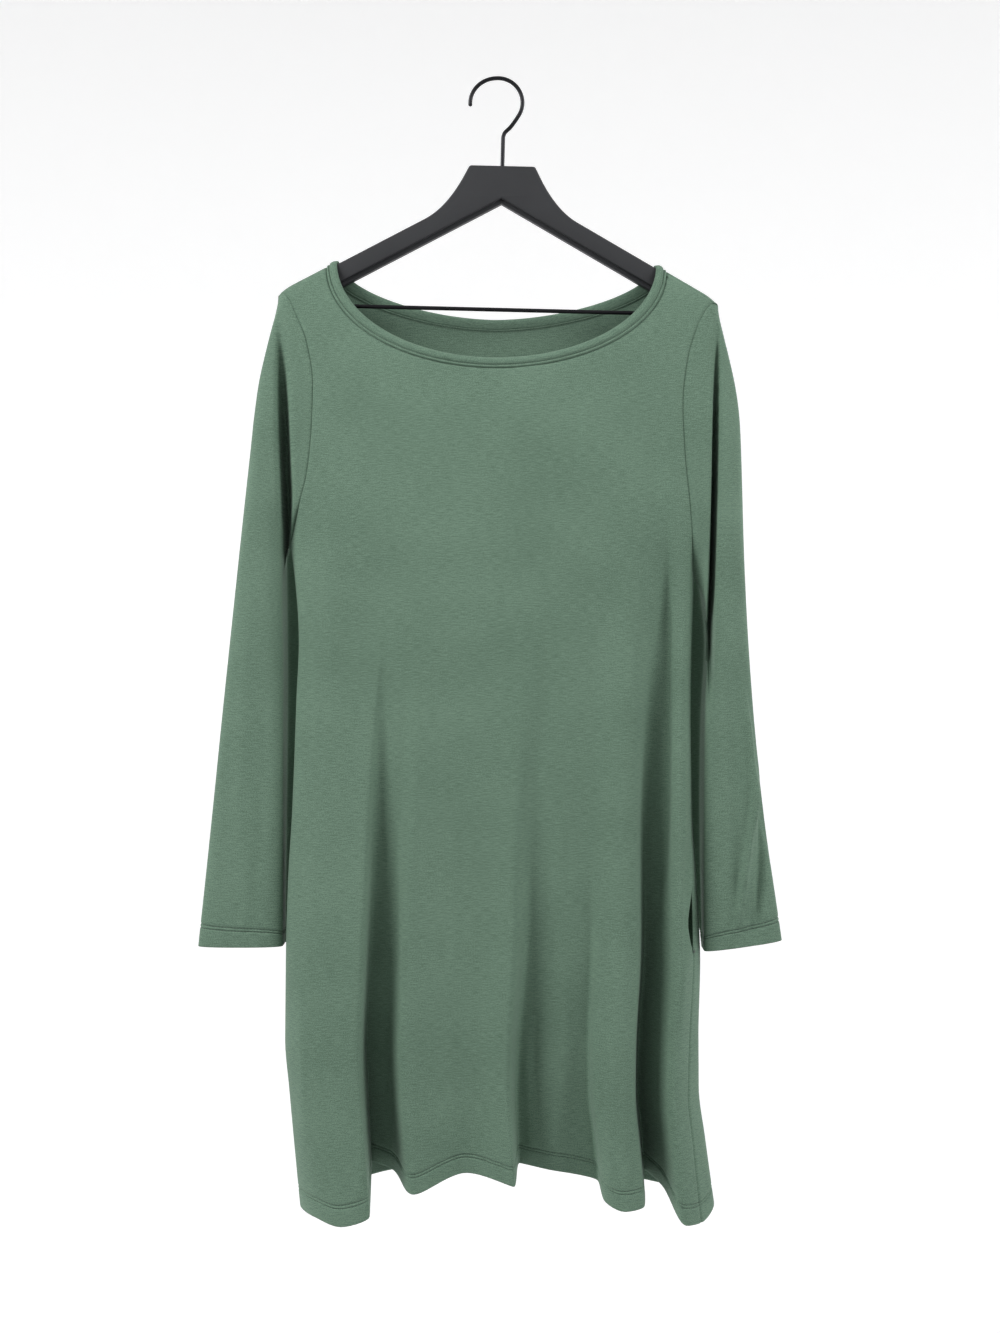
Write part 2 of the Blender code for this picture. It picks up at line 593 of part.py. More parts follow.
def seam_line(z, side):
    """x and y of a side seam at heights below the underarms, along the panels' own rows."""
    knot = knot_of(SEAM_R if side < 0 else SEAM_L)
    line = loop([knot], np.linspace(1.0, 0.0, LOWER_ROWS + 1))[:, 0]
    return np.stack([np.interp(z, line[:, 2], line[:, axis]) for axis in (0, 1)], axis=-1)


def pocket_bag(side):
    """Points of a flat bag from its mouth, which is sewn in the side seam, to its closed end."""
    table = np.array(BAG_PATH)
    which = 0 if side < 0 else 1
    mouth_height = (POCKET_TOP + POCKET_LOW) / 2
    mouth = seam_line(mouth_height, side)
    table[0, 1 + 2 * which:3 + 2 * which] = mouth + BAG_SEAT[which]
    share, half, gap = table[:, 0], table[:, 5:6], table[:, 6:7]
    middle_line = table[:, 1 + 2 * which:3 + 2 * which]
    along = np.gradient(middle_line, axis=0)
    along /= np.linalg.norm(along, axis=1, keepdims=True)
    angle = 2 * np.pi * np.arange(BAG_COLUMNS) / BAG_COLUMNS
    z = mouth_height - BAG_DROP * share[:, None] + half * np.cos(angle)
    out = gap * np.sign(np.sin(angle)) * np.abs(np.sin(angle)) ** BAG_OVAL
    beside_seam = (seam_line(z, side) - mouth) * (1 - ease(share / BAG_LEAVES_SEAM))[:, None, None]
    x = middle_line[:, :1] - along[:, 1:] * out + beside_seam[..., 0]
    y = middle_line[:, 1:] + along[:, :1] * out + beside_seam[..., 1]
    return np.stack((x, y, z), axis=-1)


def neckband():
    """Points of the binding: columns round the neck, and the band's own section at each."""
    turns = []
    for front in (True, False):
        around = panel_columns(front, COLUMN, SIDE_COLUMN)
        places = panel_shares(around, front)
        top = top_edge(*places, front, SHOULDER_SEAM)
        turns.append(top[(places[0] >= places[1][0]) & (places[0] <= places[1][1]), 2])
    turn = np.concatenate((turns[0][:-1], turns[1][::-1][:-1]))
    before = lay(*neck_edge(turn - BAND_STEP, BAND_WIDTH / 2))
    after = lay(*neck_edge(turn + BAND_STEP, BAND_WIDTH / 2))
    outer = lay(*neck_edge(turn, 0.0))
    inner = lay(*neck_edge(turn, BAND_WIDTH))
    along = after - before
    across = inner - outer
    normal = np.cross(across, along)
    normal /= np.linalg.norm(normal, axis=1, keepdims=True)
    rows = []
    for share, height in BAND_PROFILE:
        rows.append(outer + across * share + normal * height)
    return np.stack(rows)


def material(name, colour, roughness, metallic):
    made = bpy.data.materials.new(name)
    made.use_nodes = True
    shader = made.node_tree.nodes["Principled BSDF"]
    shader.inputs["Base Color"].default_value = (*colour, 1.0)
    shader.inputs["Roughness"].default_value = roughness
    shader.inputs["Metallic"].default_value = metallic
    return made


def add_mesh(name, vertices, faces, collection, look):
    mesh = bpy.data.meshes.new(name)
    mesh.from_pydata([tuple(point) for point in vertices], [], faces)
    mesh.update()
    made = bpy.data.objects.new(name, mesh)
    collection.objects.link(made)
    made.data.materials.append(look)
    return made


def grid_faces(rows, columns, closed):
    """Quads of a grid of points. A closed grid joins its last column to its first."""
    faces = []
    last = columns if closed else columns - 1
    for row in range(rows - 1):
        for place in range(last):
            beside = (place + 1) % columns
            faces.append((row * columns + place, row * columns + beside,
                          (row + 1) * columns + beside, (row + 1) * columns + place))
    return faces


def add_cloth(name, points, collection, look, closed=False, end=False):
    """A piece of cloth: an open surface through a grid of points, given its thickness."""
    rows, columns = points.shape[:2]
    faces = grid_faces(rows, columns, closed)
    if end:
        faces.append(tuple((rows - 1) * columns + place for place in range(columns)))
    made = add_mesh(name, points.reshape(-1, 3), faces, collection, look)
    wall = made.modifiers.new("Wall", "SOLIDIFY")
    wall.thickness = CLOTH
    wall.offset = 0.0
    return made


def add_curve(name, points, collection, look, flat=False, cyclic=False):
    curve = bpy.data.curves.new(name, "CURVE")
    curve.dimensions = "2D" if flat else "3D"
    spline = curve.splines.new("POLY")
    spline.points.add(len(points) - 1)
    for point, place in zip(spline.points, points):
        point.co = (*place, 1.0)
    spline.use_cyclic_u = cyclic
    made = bpy.data.objects.new(name, curve)
    collection.objects.link(made)
    made.data.materials.append(look)
    return made


def hanger_outline():
    """Half of the hanger's outline, from the plate's top to the underside's apex."""
    corner = np.array((PLATE_HALF - PLATE_CORNER, PLATE_TOP - PLATE_CORNER))
    turns = np.radians((90, 60, 30, 8))
    points = [corner + PLATE_CORNER * np.array((math.cos(a), math.sin(a))) for a in turns]
    first, control, last = (np.array(point) for point in PLATE_SIDE)
    for t in np.linspace(0.0, 1.0, 8):
        points.append((1 - t) ** 2 * first + 2 * t * (1 - t) * control + t * t * last)
    half = ARM_DEPTH / 2
    slope = math.tan(ARM_ANGLE)
    middle = np.array((ARM_END, ARM_TOP_APEX - slope * ARM_END - half / math.cos(ARM_ANGLE)))
    for turn in np.linspace(math.pi / 2 - ARM_ANGLE, -math.pi / 2 - ARM_ANGLE, 9):
        points.append(middle + half * np.array((math.cos(turn), math.sin(turn))))
    points.append(np.array((0.0, ARM_TOP_APEX - ARM_DEPTH / math.cos(ARM_ANGLE))))
    return points


def hook_path():
    """The wire's line: stem, slanting neck and the round of the hook, in the hanger's own plane."""
    first, last = np.radians(HOOK_ANGLES)
    turns = np.linspace(first, last, 22)
    radius = HOOK_RADIUS + HOOK_OPENS_BY * ease((turns - math.pi / 2) / (last - math.pi / 2))
    arc = np.stack((HOOK_CENTRE_X + radius * np.cos(turns),
                    WIRE_RADIUS - HOOK_RADIUS + radius * np.sin(turns)), axis=1)
    across, up = STEM_BEND
    bend = np.array((AXIS_X + across, STEM_TOP + up))
    neck = bend + (arc[0] - bend) * NECK_BEND_AT + NECK_BEND
    stem = ((AXIS_X, STEM_BOTTOM), (AXIS_X, STEM_TOP - up), bend, neck)
    return [(x, 0.0, z) for x, z in (*stem, *arc)]


def add_cylinder(name, radius, length, place, rotation, collection, look):
    bpy.ops.mesh.primitive_cylinder_add(vertices=16, radius=radius, depth=length,
                                        location=place, rotation=rotation)
    made = bpy.context.active_object
    made.name = name
    made.data.name = name
    for old in list(made.users_collection):
        old.objects.unlink(made)
    collection.objects.link(made)
    made.data.materials.append(look)
    return made


def curve_to_mesh(made):
    """Turns a curve object into a mesh one in the same place, with its caps welded on."""
    bpy.context.view_layer.update()
    evaluated = made.evaluated_get(bpy.context.evaluated_depsgraph_get())
    mesh = bpy.data.meshes.new_from_object(evaluated)
    solid = bpy.data.objects.new(made.name + "_solid", mesh)
    made.users_collection[0].objects.link(solid)
    solid.matrix_world = made.matrix_world
    name = made.name
    bpy.data.objects.remove(made)
    solid.name = name
    weld = solid.modifiers.new("Weld", "WELD")
    weld.merge_threshold = 0.00001
    return solid


def build_hanger(collection, cutters):
    """The moulded body with its bores, the rod between the arms and the wire hook."""
    plastic = material("charcoal_plastic", CHARCOAL, 0.6, 0.0)
    metal = material("black_metal", BLACK_METAL, 0.4, 0.7)
    tilt = bpy.data.objects.new("hanger_tilt", None)
    collection.objects.link(tilt)
    tilt.rotation_euler = (0.0, TILT, 0.0)

    half = hanger_outline()
    mirrored = [np.array((-x, z)) for x, z in reversed(half[:-1])]
    outline = [(x + AXIS_X, z, 0.0) for x, z in half + mirrored]
    body = add_curve("hanger_body", outline, collection, plastic, flat=True, cyclic=True)
    body.data.fill_mode = "BOTH"
    body.data.extrude = HANGER_THICK / 2 - HANGER_EDGE
    body.data.bevel_depth = HANGER_EDGE
    body.data.bevel_resolution = 2
    body.data.offset = -HANGER_EDGE
    body.rotation_euler = (math.pi / 2, TILT, 0.0)
    body = curve_to_mesh(body)

    hook = add_curve("hanger_hook", hook_path(), collection, metal)
    hook.data.bevel_depth = WIRE_RADIUS
    hook.data.bevel_resolution = 2
    hook.data.use_fill_caps = True
    hook.parent = tilt
    bar = add_cylinder("hanger_bar", BAR_RADIUS, 2 * BAR_HALF, (AXIS_X, 0.0, BAR_HEIGHT),
                       (0.0, math.pi / 2, 0.0), collection, metal)
    bar.parent = tilt

    bores = ((WIRE_RADIUS, PLATE_TOP - STEM_BOTTOM, (AXIS_X, 0.0, (PLATE_TOP + STEM_BOTTOM) / 2),
              (0.0, 0.0, 0.0), "stem_bore"),
             (BAR_RADIUS, 2 * BAR_HALF, (AXIS_X, 0.0, BAR_HEIGHT), (0.0, math.pi / 2, 0.0), "bar_bore"))
    for radius, length, place, rotation, name in bores:
        cutter = add_cylinder(name, radius + BORE_CLEAR, length + 2 * BORE_CLEAR, place, rotation,
                              cutters, plastic)
        cutter.parent = tilt
        cutter.hide_render = True
        cutter.display_type = "WIRE"
        cut = body.modifiers.new(name, "BOOLEAN")
        cut.operation = "DIFFERENCE"
        cut.solver = "EXACT"
        cut.object = cutter


def build_dress(collection):
    jersey = material("green_jersey", GREEN, 0.85, 0.0)
    add_cloth("dress_front", draw_in(panel(True)), collection, jersey)
    add_cloth("dress_back", draw_in(panel(False)), collection, jersey)
    add_cloth("sleeve_right", sleeve(-1), collection, jersey, closed=True)
    add_cloth("sleeve_left", sleeve(1), collection, jersey, closed=True)
    add_cloth("pocket_bag_right", pocket_bag(-1), collection, jersey, closed=True, end=True)
    add_cloth("pocket_bag_left", pocket_bag(1), collection, jersey, closed=True, end=True)
    band = neckband()
    rows, columns = band.shape[:2]
    faces = grid_faces(rows, columns, True)
    for place in range(columns):
        beside = (place + 1) % columns
        faces.append(((rows - 1) * columns + place, (rows - 1) * columns + beside, beside, place))
    add_mesh("neckband", band.reshape(-1, 3), faces, collection, jersey)


def main():
    for old in list(bpy.data.objects):
        bpy.data.objects.remove(old, do_unlink=True)
    collection = bpy.data.collections.new("swing_dress_on_hanger")
    cutters = bpy.data.collections.new("cutters")
    bpy.context.scene.collection.children.link(collection)
    bpy.context.scene.collection.children.link(cutters)
    build_hanger(collection, cutters)
    build_dress(collection)


main()
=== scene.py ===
# %% [markdown]
# A swing dress of fine green jersey hangs on a slim charcoal hanger. This lesson rebuilds it as real
# cloth: two body panels, two sleeves and a rolled neckband, each a thin shell worked out with numpy
# and laid over the hanger's arms. The imported frame holds a plain solid for each part, and it is
# loaded first, before anything is added. The imported frame gives the box that everything has to stay
# in.

# %% Load the imported frame
import json
import math

import bpy
import numpy as np
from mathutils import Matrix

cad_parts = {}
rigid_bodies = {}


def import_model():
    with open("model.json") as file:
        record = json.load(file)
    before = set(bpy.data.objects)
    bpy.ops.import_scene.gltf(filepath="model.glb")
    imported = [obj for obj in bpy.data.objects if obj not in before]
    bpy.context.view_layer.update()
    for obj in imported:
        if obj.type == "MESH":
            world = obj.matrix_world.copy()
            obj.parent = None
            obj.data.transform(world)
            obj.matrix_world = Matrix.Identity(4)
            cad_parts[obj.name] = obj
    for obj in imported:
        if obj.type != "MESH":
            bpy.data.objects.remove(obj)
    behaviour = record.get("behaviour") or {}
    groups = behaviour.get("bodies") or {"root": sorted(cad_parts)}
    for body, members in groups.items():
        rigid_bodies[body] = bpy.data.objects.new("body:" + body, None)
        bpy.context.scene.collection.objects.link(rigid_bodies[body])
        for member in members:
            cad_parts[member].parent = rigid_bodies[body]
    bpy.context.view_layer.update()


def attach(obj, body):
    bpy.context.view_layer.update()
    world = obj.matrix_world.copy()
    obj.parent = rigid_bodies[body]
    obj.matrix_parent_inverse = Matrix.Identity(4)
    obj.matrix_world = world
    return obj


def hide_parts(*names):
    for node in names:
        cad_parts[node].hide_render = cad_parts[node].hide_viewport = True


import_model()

# %% [markdown]
# The camera comes early, because every later choice is judged through it. It stands level in front
# of the middle of the dress, 1.65 m away, and its lens is chosen so that 1.333 m of height fills the
# frame there: the view angle is then right without any shift.

# %% Camera
CAMERA_PLACE = (0.002, -1.65, -0.5863)
FRAME_HEIGHT = 1.333
camera_data = bpy.data.cameras.new("camera")
camera_data.sensor_width = 36.0
camera_data.lens = camera_data.sensor_width * -CAMERA_PLACE[1] / FRAME_HEIGHT
camera_data.clip_start = 0.01
camera = bpy.data.objects.new("camera", camera_data)
camera.location = CAMERA_PLACE
camera.rotation_euler = (math.pi / 2, 0.0, 0.0)
bpy.context.scene.collection.objects.link(camera)
bpy.context.scene.camera = camera
print("lens", round(camera_data.lens, 2), "mm")

# %% [markdown]
# Cloth has no corners of its own, so every curve here runs through a short table of measured places
# with a monotone cubic: it passes each row, never overshoots, and lies level where the rows turn
# back, just as a fold is level on its crest. A spline that overshoots would put waves between folds.

# %% Curves through short tables
def ease(share):
    """A step from 0 to 1 with level ends."""
    share = np.clip(share, 0.0, 1.0)
    return share * share * (3.0 - 2.0 * share)


def through(at, knots, rows):
    """The smooth curve through a table's rows, with no overshoot: level where the rows turn back."""
    knots = np.asarray(knots, float)
    rows = np.asarray(rows, float)
    run = np.diff(knots).reshape((-1,) + (1,) * (rows.ndim - 1))
    rise = np.diff(rows, axis=0) / run
    before, after = rise[:-1], rise[1:]
    same_way = before * after > 0
    weight = (2 * run[1:] + run[:-1], run[1:] + 2 * run[:-1])
    safe = np.where(same_way, before, 1.0), np.where(same_way, after, 1.0)
    mean = (weight[0] + weight[1]) / (weight[0] / safe[0] + weight[1] / safe[1])
    slope = np.concatenate((rise[:1], np.where(same_way, mean, 0.0), rise[-1:]))
    at = np.asarray(at, float)
    piece = np.clip(np.searchsorted(knots, at, side="right") - 1, 0, len(run) - 1)
    width = run[piece]
    t = (at - knots[piece]).reshape(width.shape) / width
    start, end = rows[piece], rows[piece + 1]
    return (start * (1 + 2 * t) * (1 - t) ** 2 + end * t * t * (3 - 2 * t)
            + width * t * (1 - t) * (slope[piece] * (1 - t) - slope[piece + 1] * t))


def column(table, number):
    """One column of a table, as an array."""
    return np.array([row[number] for row in table], float)


def evenly(points, shares):
    """Points at the given shares of a polyline's length."""
    length = np.concatenate(([0.0], np.cumsum(np.linalg.norm(np.diff(points, axis=0), axis=1))))
    at = np.asarray(shares) * length[-1]
    return np.stack([np.interp(at, length, points[:, axis]) for axis in range(points.shape[1])], axis=1)


print("a step is", float(ease(0.25)), "high after a quarter of its way")

# %% [markdown]
# The shoulders are not sewn to a shape: they take the shape of what holds them. The cloth rests on
# the hanger's two slanting arms, so a point of it is described by how far across it is and how far
# down it hangs from the arms' top line. A narrow hyperbola rounds the cloth over that line, and
# below it the chest swells out a little, more in the middle than at the armholes.

# %% Cloth over the hanger's arms
# The hanger. Heights are measured down from the inside top of the hook, across is from its axis.
TILT = math.radians(1.4)
AXIS_X = 0.0065
ARM_ANGLE = math.radians(28.9)
ARM_TOP_APEX = -0.0995
# The shoulders. The cloth lies over the arms, half a fold's width to each side of their top edge.
RIDGE_CLEAR = 0.0032
RIDGE_WIDTH = 0.0105
RIDGE_ENDS = 0.205
RIDGE_DROP = 17.0
TIP = (-0.2195, 0.2200)
UNDERARM = ((-0.2080, -0.4650), (0.1960, -0.4970))
# How far the chest stands out in front and behind, at the middle and at the armholes
CHEST_FRONT = (0.033, 0.012)
CHEST_BACK = (0.030, 0.010)
CHEST_ROUND = 2.4
CHEST_FALL = 2.7
CHEST_TOP = -0.190


def hanger_axis_x(z):
    """Where the hanger's own axis stands at a height, with the hanger tilted about its hook."""
    return AXIS_X * math.cos(TILT) + z * math.tan(TILT)


def ridge_height(x):
    """Height of the shoulders' top line, just over the arms and rounded off at their ends."""
    apex = ARM_TOP_APEX - AXIS_X * math.sin(TILT)
    across = np.asarray(x) - hanger_axis_x(ARM_TOP_APEX)
    slope = np.where(across < 0, math.tan(ARM_ANGLE - TILT), math.tan(ARM_ANGLE + TILT))
    past = np.maximum(np.abs(x) - RIDGE_ENDS, 0.0)
    return apex + RIDGE_CLEAR - slope * np.abs(across) - RIDGE_DROP * past ** 2


def hung_from_ridge(x, z):
    """How far down the laid cloth a height is, measured from the ridge."""
    drop = np.maximum(ridge_height(x) - z, 0.0)
    return np.sqrt((drop + RIDGE_WIDTH) ** 2 - RIDGE_WIDTH ** 2)


def chest_depth(x, sizes):
    """How far the chest stands out across the body."""
    middle, edge = sizes
    return middle - (middle - edge) * np.clip(np.abs(x) / TIP[1], 0.0, 1.0) ** CHEST_ROUND


def lay(x, down):
    """Points of the cloth laid over the arms. down is positive in front and negative behind."""
    over = np.sqrt(down ** 2 + RIDGE_WIDTH ** 2)
    z = ridge_height(x) - (over - RIDGE_WIDTH)
    depth = np.where(down > 0, chest_depth(x, CHEST_FRONT), chest_depth(x, CHEST_BACK))
    fall = np.clip((CHEST_TOP - z) / (CHEST_TOP - UNDERARM[0][1]), 0.0, 1.0)
    swell = 1.0 - (1.0 - fall) ** CHEST_FALL
    y = -down / over * (RIDGE_WIDTH + (depth - RIDGE_WIDTH) * swell)
    return np.stack((x, y, z), axis=-1)


print("shoulder line at the tips", np.round(ridge_height(np.array(TIP)), 4))

# %% [markdown]
# Below the underarms the dress is one loose loop. A swing dress is cut wider at the hem than its
# wearer, so on a hanger the spare width falls into lobes and valleys. Each row of the table is one
# ridge, wall or valley: where it is at the chest, where it ends at the hem, how low it starts and
# how fast it grows. A loop of smooth curve through the rows, at every height, is the cloth.

# %% The body's folds
# The body's side outlines
OUTLINE = (
    # height, wearer's right, wearer's left
    (-0.465, -0.2080, 0.1965),
    (-0.495, -0.2035, 0.1962),
    (-0.560, -0.1995, 0.1940),
    (-0.620, -0.2020, 0.1930),
    (-0.730, -0.2055, 0.1945),
    (-0.800, -0.2090, 0.1985),
    (-0.880, -0.2105, 0.2020),
    (-0.955, -0.2105, 0.2000),
    (-1.005, -0.2060, 0.2000),
    (-1.055, -0.2010, 0.2060),
    (-1.122, -0.1940, 0.2150),
)

# The body below the underarms, one row for each ridge, wall and valley of a fold, going round from
# the right side seam over the front to the left seam and home over the back
SEAM_R, SEAM_L = "right seam", "left seam"
FRONT_CORNERS = ("first lobe side", "fifth lobe")
BACK_CORNERS = ("back right side", "back left side")
FOLDS = (
    # name, x and y at the chest, x, y and height at the hem, height where it starts, how it grows
    (SEAM_R, -0.2080, 0.0040, -0.1920, 0.0160, -1.121, -0.465, 1.0),
    ("right edge", -0.2045, -0.0100, -0.1965, -0.0060, -1.121, -0.465, 1.0),
    ("first lobe side", -0.1920, -0.0190, -0.1780, -0.0440, -1.122, -0.465, 1.3),
    ("first lobe", -0.1760, -0.0230, -0.1520, -0.0580, -1.127, -0.465, 1.4),
    ("first lobe edge", -0.1275, -0.0280, -0.1245, -0.0490, -1.120, -0.465, 1.3),
    ("first valley", -0.1120, -0.0290, -0.1245, 0.0240, -1.088, -0.540, 1.5),
    ("first valley side", -0.0950, -0.0300, -0.1035, 0.0120, -1.092, -0.540, 1.5),
    ("second lobe", -0.0740, -0.0320, -0.0800, -0.0380, -1.102, -0.465, 1.3),
    ("second lobe hollow", -0.0280, -0.0330, -0.0270, -0.0240, -1.085, -0.700, 1.2),
    ("second lobe edge", 0.0180, -0.0330, 0.0190, -0.0440, -1.0925, -0.465, 1.5),
    ("second valley", 0.0440, -0.0330, 0.0260, 0.0050, -1.084, -0.580, 1.4),
    ("third lobe", 0.0680, -0.0320, 0.0640, -0.0090, -1.088, -0.620, 1.3),
    ("third valley", 0.0880, -0.0310, 0.1025, -0.0080, -1.0975, -0.700, 1.3),
    ("fourth lobe side", 0.1000, -0.0300, 0.1055, -0.0390, -1.107, -0.465, 1.8),
    ("fourth lobe", 0.1170, -0.0280, 0.1240, -0.0560, -1.113, -0.465, 1.4),
    ("fourth lobe edge", 0.1370, -0.0240, 0.1435, -0.0440, -1.112, -0.465, 1.2),
    ("fourth valley", 0.1680, -0.0200, 0.1520, 0.0220, -1.096, -0.430, 0.7),
    ("fifth lobe side", 0.1770, -0.0190, 0.1660, -0.0060, -1.103, -0.465, 1.0),
    ("fifth lobe", 0.1870, -0.0160, 0.1820, -0.0480, -1.129, -0.465, 1.2),
    (SEAM_L, 0.1955, -0.0030, 0.1980, -0.0360, -1.130, -0.700, 0.9),
    ("left edge", 0.1965, 0.0060, 0.2150, -0.0080, -1.120, -0.760, 1.1),
    ("back left side", 0.1880, 0.0150, 0.2020, 0.0240, -1.119, -0.465, 1.0),
    ("back first lobe", 0.1500, 0.0240, 0.1550, 0.0380, -1.111, -0.465, 1.0),
    ("back first valley", 0.1000, 0.0280, 0.1080, 0.0140, -1.098, -0.600, 1.2),
    ("back second lobe", 0.0400, 0.0300, 0.0430, 0.0400, -1.093, -0.465, 1.0),
    ("back second valley", -0.0300, 0.0300, -0.0280, 0.0140, -1.094, -0.650, 1.2),
    ("back third lobe", -0.1000, 0.0280, -0.1000, 0.0400, -1.100, -0.465, 1.0),
    ("back third valley", -0.1500, 0.0240, -0.1540, 0.0160, -1.106, -0.600, 1.2),
    ("back right side", -0.1900, 0.0160, -0.1840, 0.0320, -1.118, -0.465, 1.0),
)


print("folds round the body", len(FOLDS))

# %% [markdown]
# The table says where each fold is at the chest and at the hem. In between, a fold grows by a power
# of the way down from where it starts, and the side outlines stretch the whole loop sideways. At
# every height one smooth closed curve runs through the rows, by their place round the hem.

# %% The loop through the folds
def chest_height(x):
    """Height of the line between the underarms."""
    (right, low_right), (left, low_left) = UNDERARM
    return low_right + (low_left - low_right) * (x - right) / (left - right)


def fold_rows(heights):
    """The ridges and valleys of the body at rows from the chest (0) to the hem (1)."""
    table = {name: np.array(row) for name, *row in FOLDS}
    rows = np.stack(list(table.values()))
    chest_x, chest_y, hem_x, hem_y, hem_z, start, power = rows.T[:, :, None]
    z = chest_height(chest_x) + heights * (hem_z - chest_height(chest_x))
    start = np.minimum(start, chest_height(chest_x))
    grown = np.clip((start - z) / (start - hem_z), 0.0, 1.0) ** power
    heights_table = column(OUTLINE, 0)[::-1]
    edges = through(z.ravel(), heights_table, np.array(OUTLINE)[::-1, 1:]).reshape(z.shape + (2,))
    right, left = edges[..., 0], edges[..., 1]
    first, last = OUTLINE[0], OUTLINE[-1]
    share_chest = (chest_x - first[1]) / (first[2] - first[1])
    share_hem = (hem_x - last[1]) / (last[2] - last[1])
    x = right + (share_chest + (share_hem - share_chest) * grown) * (left - right)
    y = chest_y + (hem_y - chest_y) * grown
    return np.stack((x, y, z), axis=-1)


def fold_knots():
    """Where each row of FOLDS lies round the hem, by length, and the hem's whole length."""
    hem = np.array([(row[3], row[4]) for row in FOLDS])
    steps = np.linalg.norm(np.roll(hem, -1, axis=0) - hem, axis=1)
    return np.concatenate(([0.0], np.cumsum(steps)))


def loop(around, heights):
    """Points of the body below the underarms: rows of heights, columns round the loop."""
    knots = fold_knots()
    rows = fold_rows(np.asarray(heights, float))
    rows = np.concatenate((rows, rows[:1]))
    padded = np.concatenate((knots[-4:-1] - knots[-1], knots, knots[1:4] + knots[-1]))
    rows = np.concatenate((rows[-4:-1], rows, rows[1:4]))
    return through(around, padded, rows).swapaxes(0, 1)


def knot_of(name):
    """Where the named row of FOLDS lies round the hem, by length."""
    return fold_knots()[[row[0] for row in FOLDS].index(name)]


print("hem length round the loop", round(float(fold_knots()[-1]), 3), "m")

# %% [markdown]
# The neck is half a flat oval in front and a shallower one behind. Each armhole is a curve read from
# a table, as a share of the way down to the underarm. Both are given on the laid cloth, so they
# follow the slope of the shoulders by themselves.

# %% Neck and armholes
SHOULDER_SEAM = (0.0004, 0.0090)
# The armholes: share of the way down, then how far each edge lies in from the shoulder's tip
ARMHOLE = (
    # share, front right, front left, back right, back left
    (0.00, 0.0000, 0.0000, 0.0000, 0.0000),
    (0.06, 0.0090, 0.0100, 0.0060, 0.0060),
    (0.15, 0.0180, 0.0210, 0.0120, 0.0130),
    (0.29, 0.0300, 0.0320, 0.0200, 0.0210),
    (0.45, 0.0360, 0.0370, 0.0240, 0.0260),
    (0.60, 0.0350, 0.0350, 0.0250, 0.0280),
    (0.76, 0.0310, 0.0300, 0.0240, 0.0280),
    (0.89, 0.0210, 0.0270, 0.0180, 0.0265),
    (1.00, 0.0115, 0.0240, 0.0115, 0.0240),
)

# The neck: half a flat oval in front and a shallower one behind
NECK_CENTRE = -0.0015
NECK_HALF = (0.1690, 0.1665)
NECK_LOW = (-0.2920, -0.2460)
NECK_ROUND = (2.0, 1.75)
BAND_WIDTH = 0.0100


def neck_edge(turn, inset=0.0):
    """x and way down of the neck's edge. turn is 0 at the left shoulder, a quarter at the front."""
    turn = np.asarray(turn, float)
    angle = 2 * np.pi * turn
    front = np.sin(angle) >= 0
    half = np.where(front, NECK_HALF[0], (NECK_HALF[0] + NECK_HALF[1]) / 2) - inset
    behind = np.clip(-np.sin(angle), 0.0, 1.0)
    half = half - (half - (NECK_HALF[1] - inset)) * behind * np.where(front, 0.0, 1.0)
    power = np.where(front, NECK_ROUND[0], NECK_ROUND[1])
    x = NECK_CENTRE + half * np.cos(angle)
    low = np.where(front, NECK_LOW[0], NECK_LOW[1]) + inset
    end = NECK_CENTRE + half * np.sign(np.cos(angle) + 1e-9)
    top = ridge_height(end)
    share = (1.0 - np.abs(np.cos(angle)) ** power) ** (1.0 / power)
    z = np.minimum(top - (top - low) * share, ridge_height(x))
    down = hung_from_ridge(x, z) * np.where(front, 1.0, -1.0)
    return x, down


def underarm_down(side):
    """How far down the laid cloth the underarm is."""
    return float(hung_from_ridge(*UNDERARM[0 if side < 0 else 1]))


def armhole_x(down, side):
    """Where an armhole's edge lies at a way down, which is negative behind."""
    which = 0 if side < 0 else 1
    share = np.abs(down) / underarm_down(side)
    in_front = through(share, column(ARMHOLE, 0), column(ARMHOLE, 1 + which))
    behind = through(share, column(ARMHOLE, 0), column(ARMHOLE, 3 + which))
    return TIP[which] - side * np.where(down > 0, in_front, behind)


print("armholes, right and left", [round(underarm_down(side), 3) for side in (-1, 1)], "m down the cloth")

# %% [markdown]
# A panel's grid has one column for each place round the loop and runs from hem to shoulder. The
# columns are packed closely beside the seams, where sewing pulls the cloth into a small dip, and at
# the two corners of the neck.

# %% Columns of a panel
FINE_FRONT, FINE_BACK = 0.0048, 0.0065
SEAM_COLUMNS = (0.0008, 0.0016, 0.0025, 0.0038, 0.0055)
CORNER_COLUMNS = (0.0020, 0.0045, 0.0080)
STRIP = 0.015
STRIP_NECK = 0.012
TURN_ROWS = 0.16


def panel_columns(front, spacing, side_spacing, beside_seams, beside_corners):
    """Places round the loop: each stretch between two folds in equal steps, plus the given extras."""
    knots = fold_knots()
    seam = knot_of(SEAM_L)
    inside = knots[knots <= seam] if front else knots[knots >= seam]
    low, high = sorted(knot_of(name) for name in (FRONT_CORNERS if front else BACK_CORNERS))
    places = [low + step for step in beside_corners] + [high - step for step in beside_corners]
    for first, last in zip(inside[:-1], inside[1:]):
        beside = first == inside[0] or last == inside[-1]
        count = math.ceil((last - first) / (side_spacing if beside else spacing))
        places.extend(np.linspace(first, last, count, endpoint=False))
    places += [inside[0] + step for step in beside_seams] + [inside[-1] - step for step in beside_seams]
    return np.array(sorted(places + [inside[-1]]))


def neck_turns(front, seams, inset):
    """The turns at which the shoulder seams meet the neck, the right one first."""
    turns = np.linspace(-0.2, 0.2, 4001)
    right = 0.5 - np.interp(seams[0], neck_edge(0.5 - turns, inset)[1], turns)
    left = np.interp(seams[1], neck_edge(turns, inset)[1], turns)
    return (right, left) if front else (right, left + 1.0)


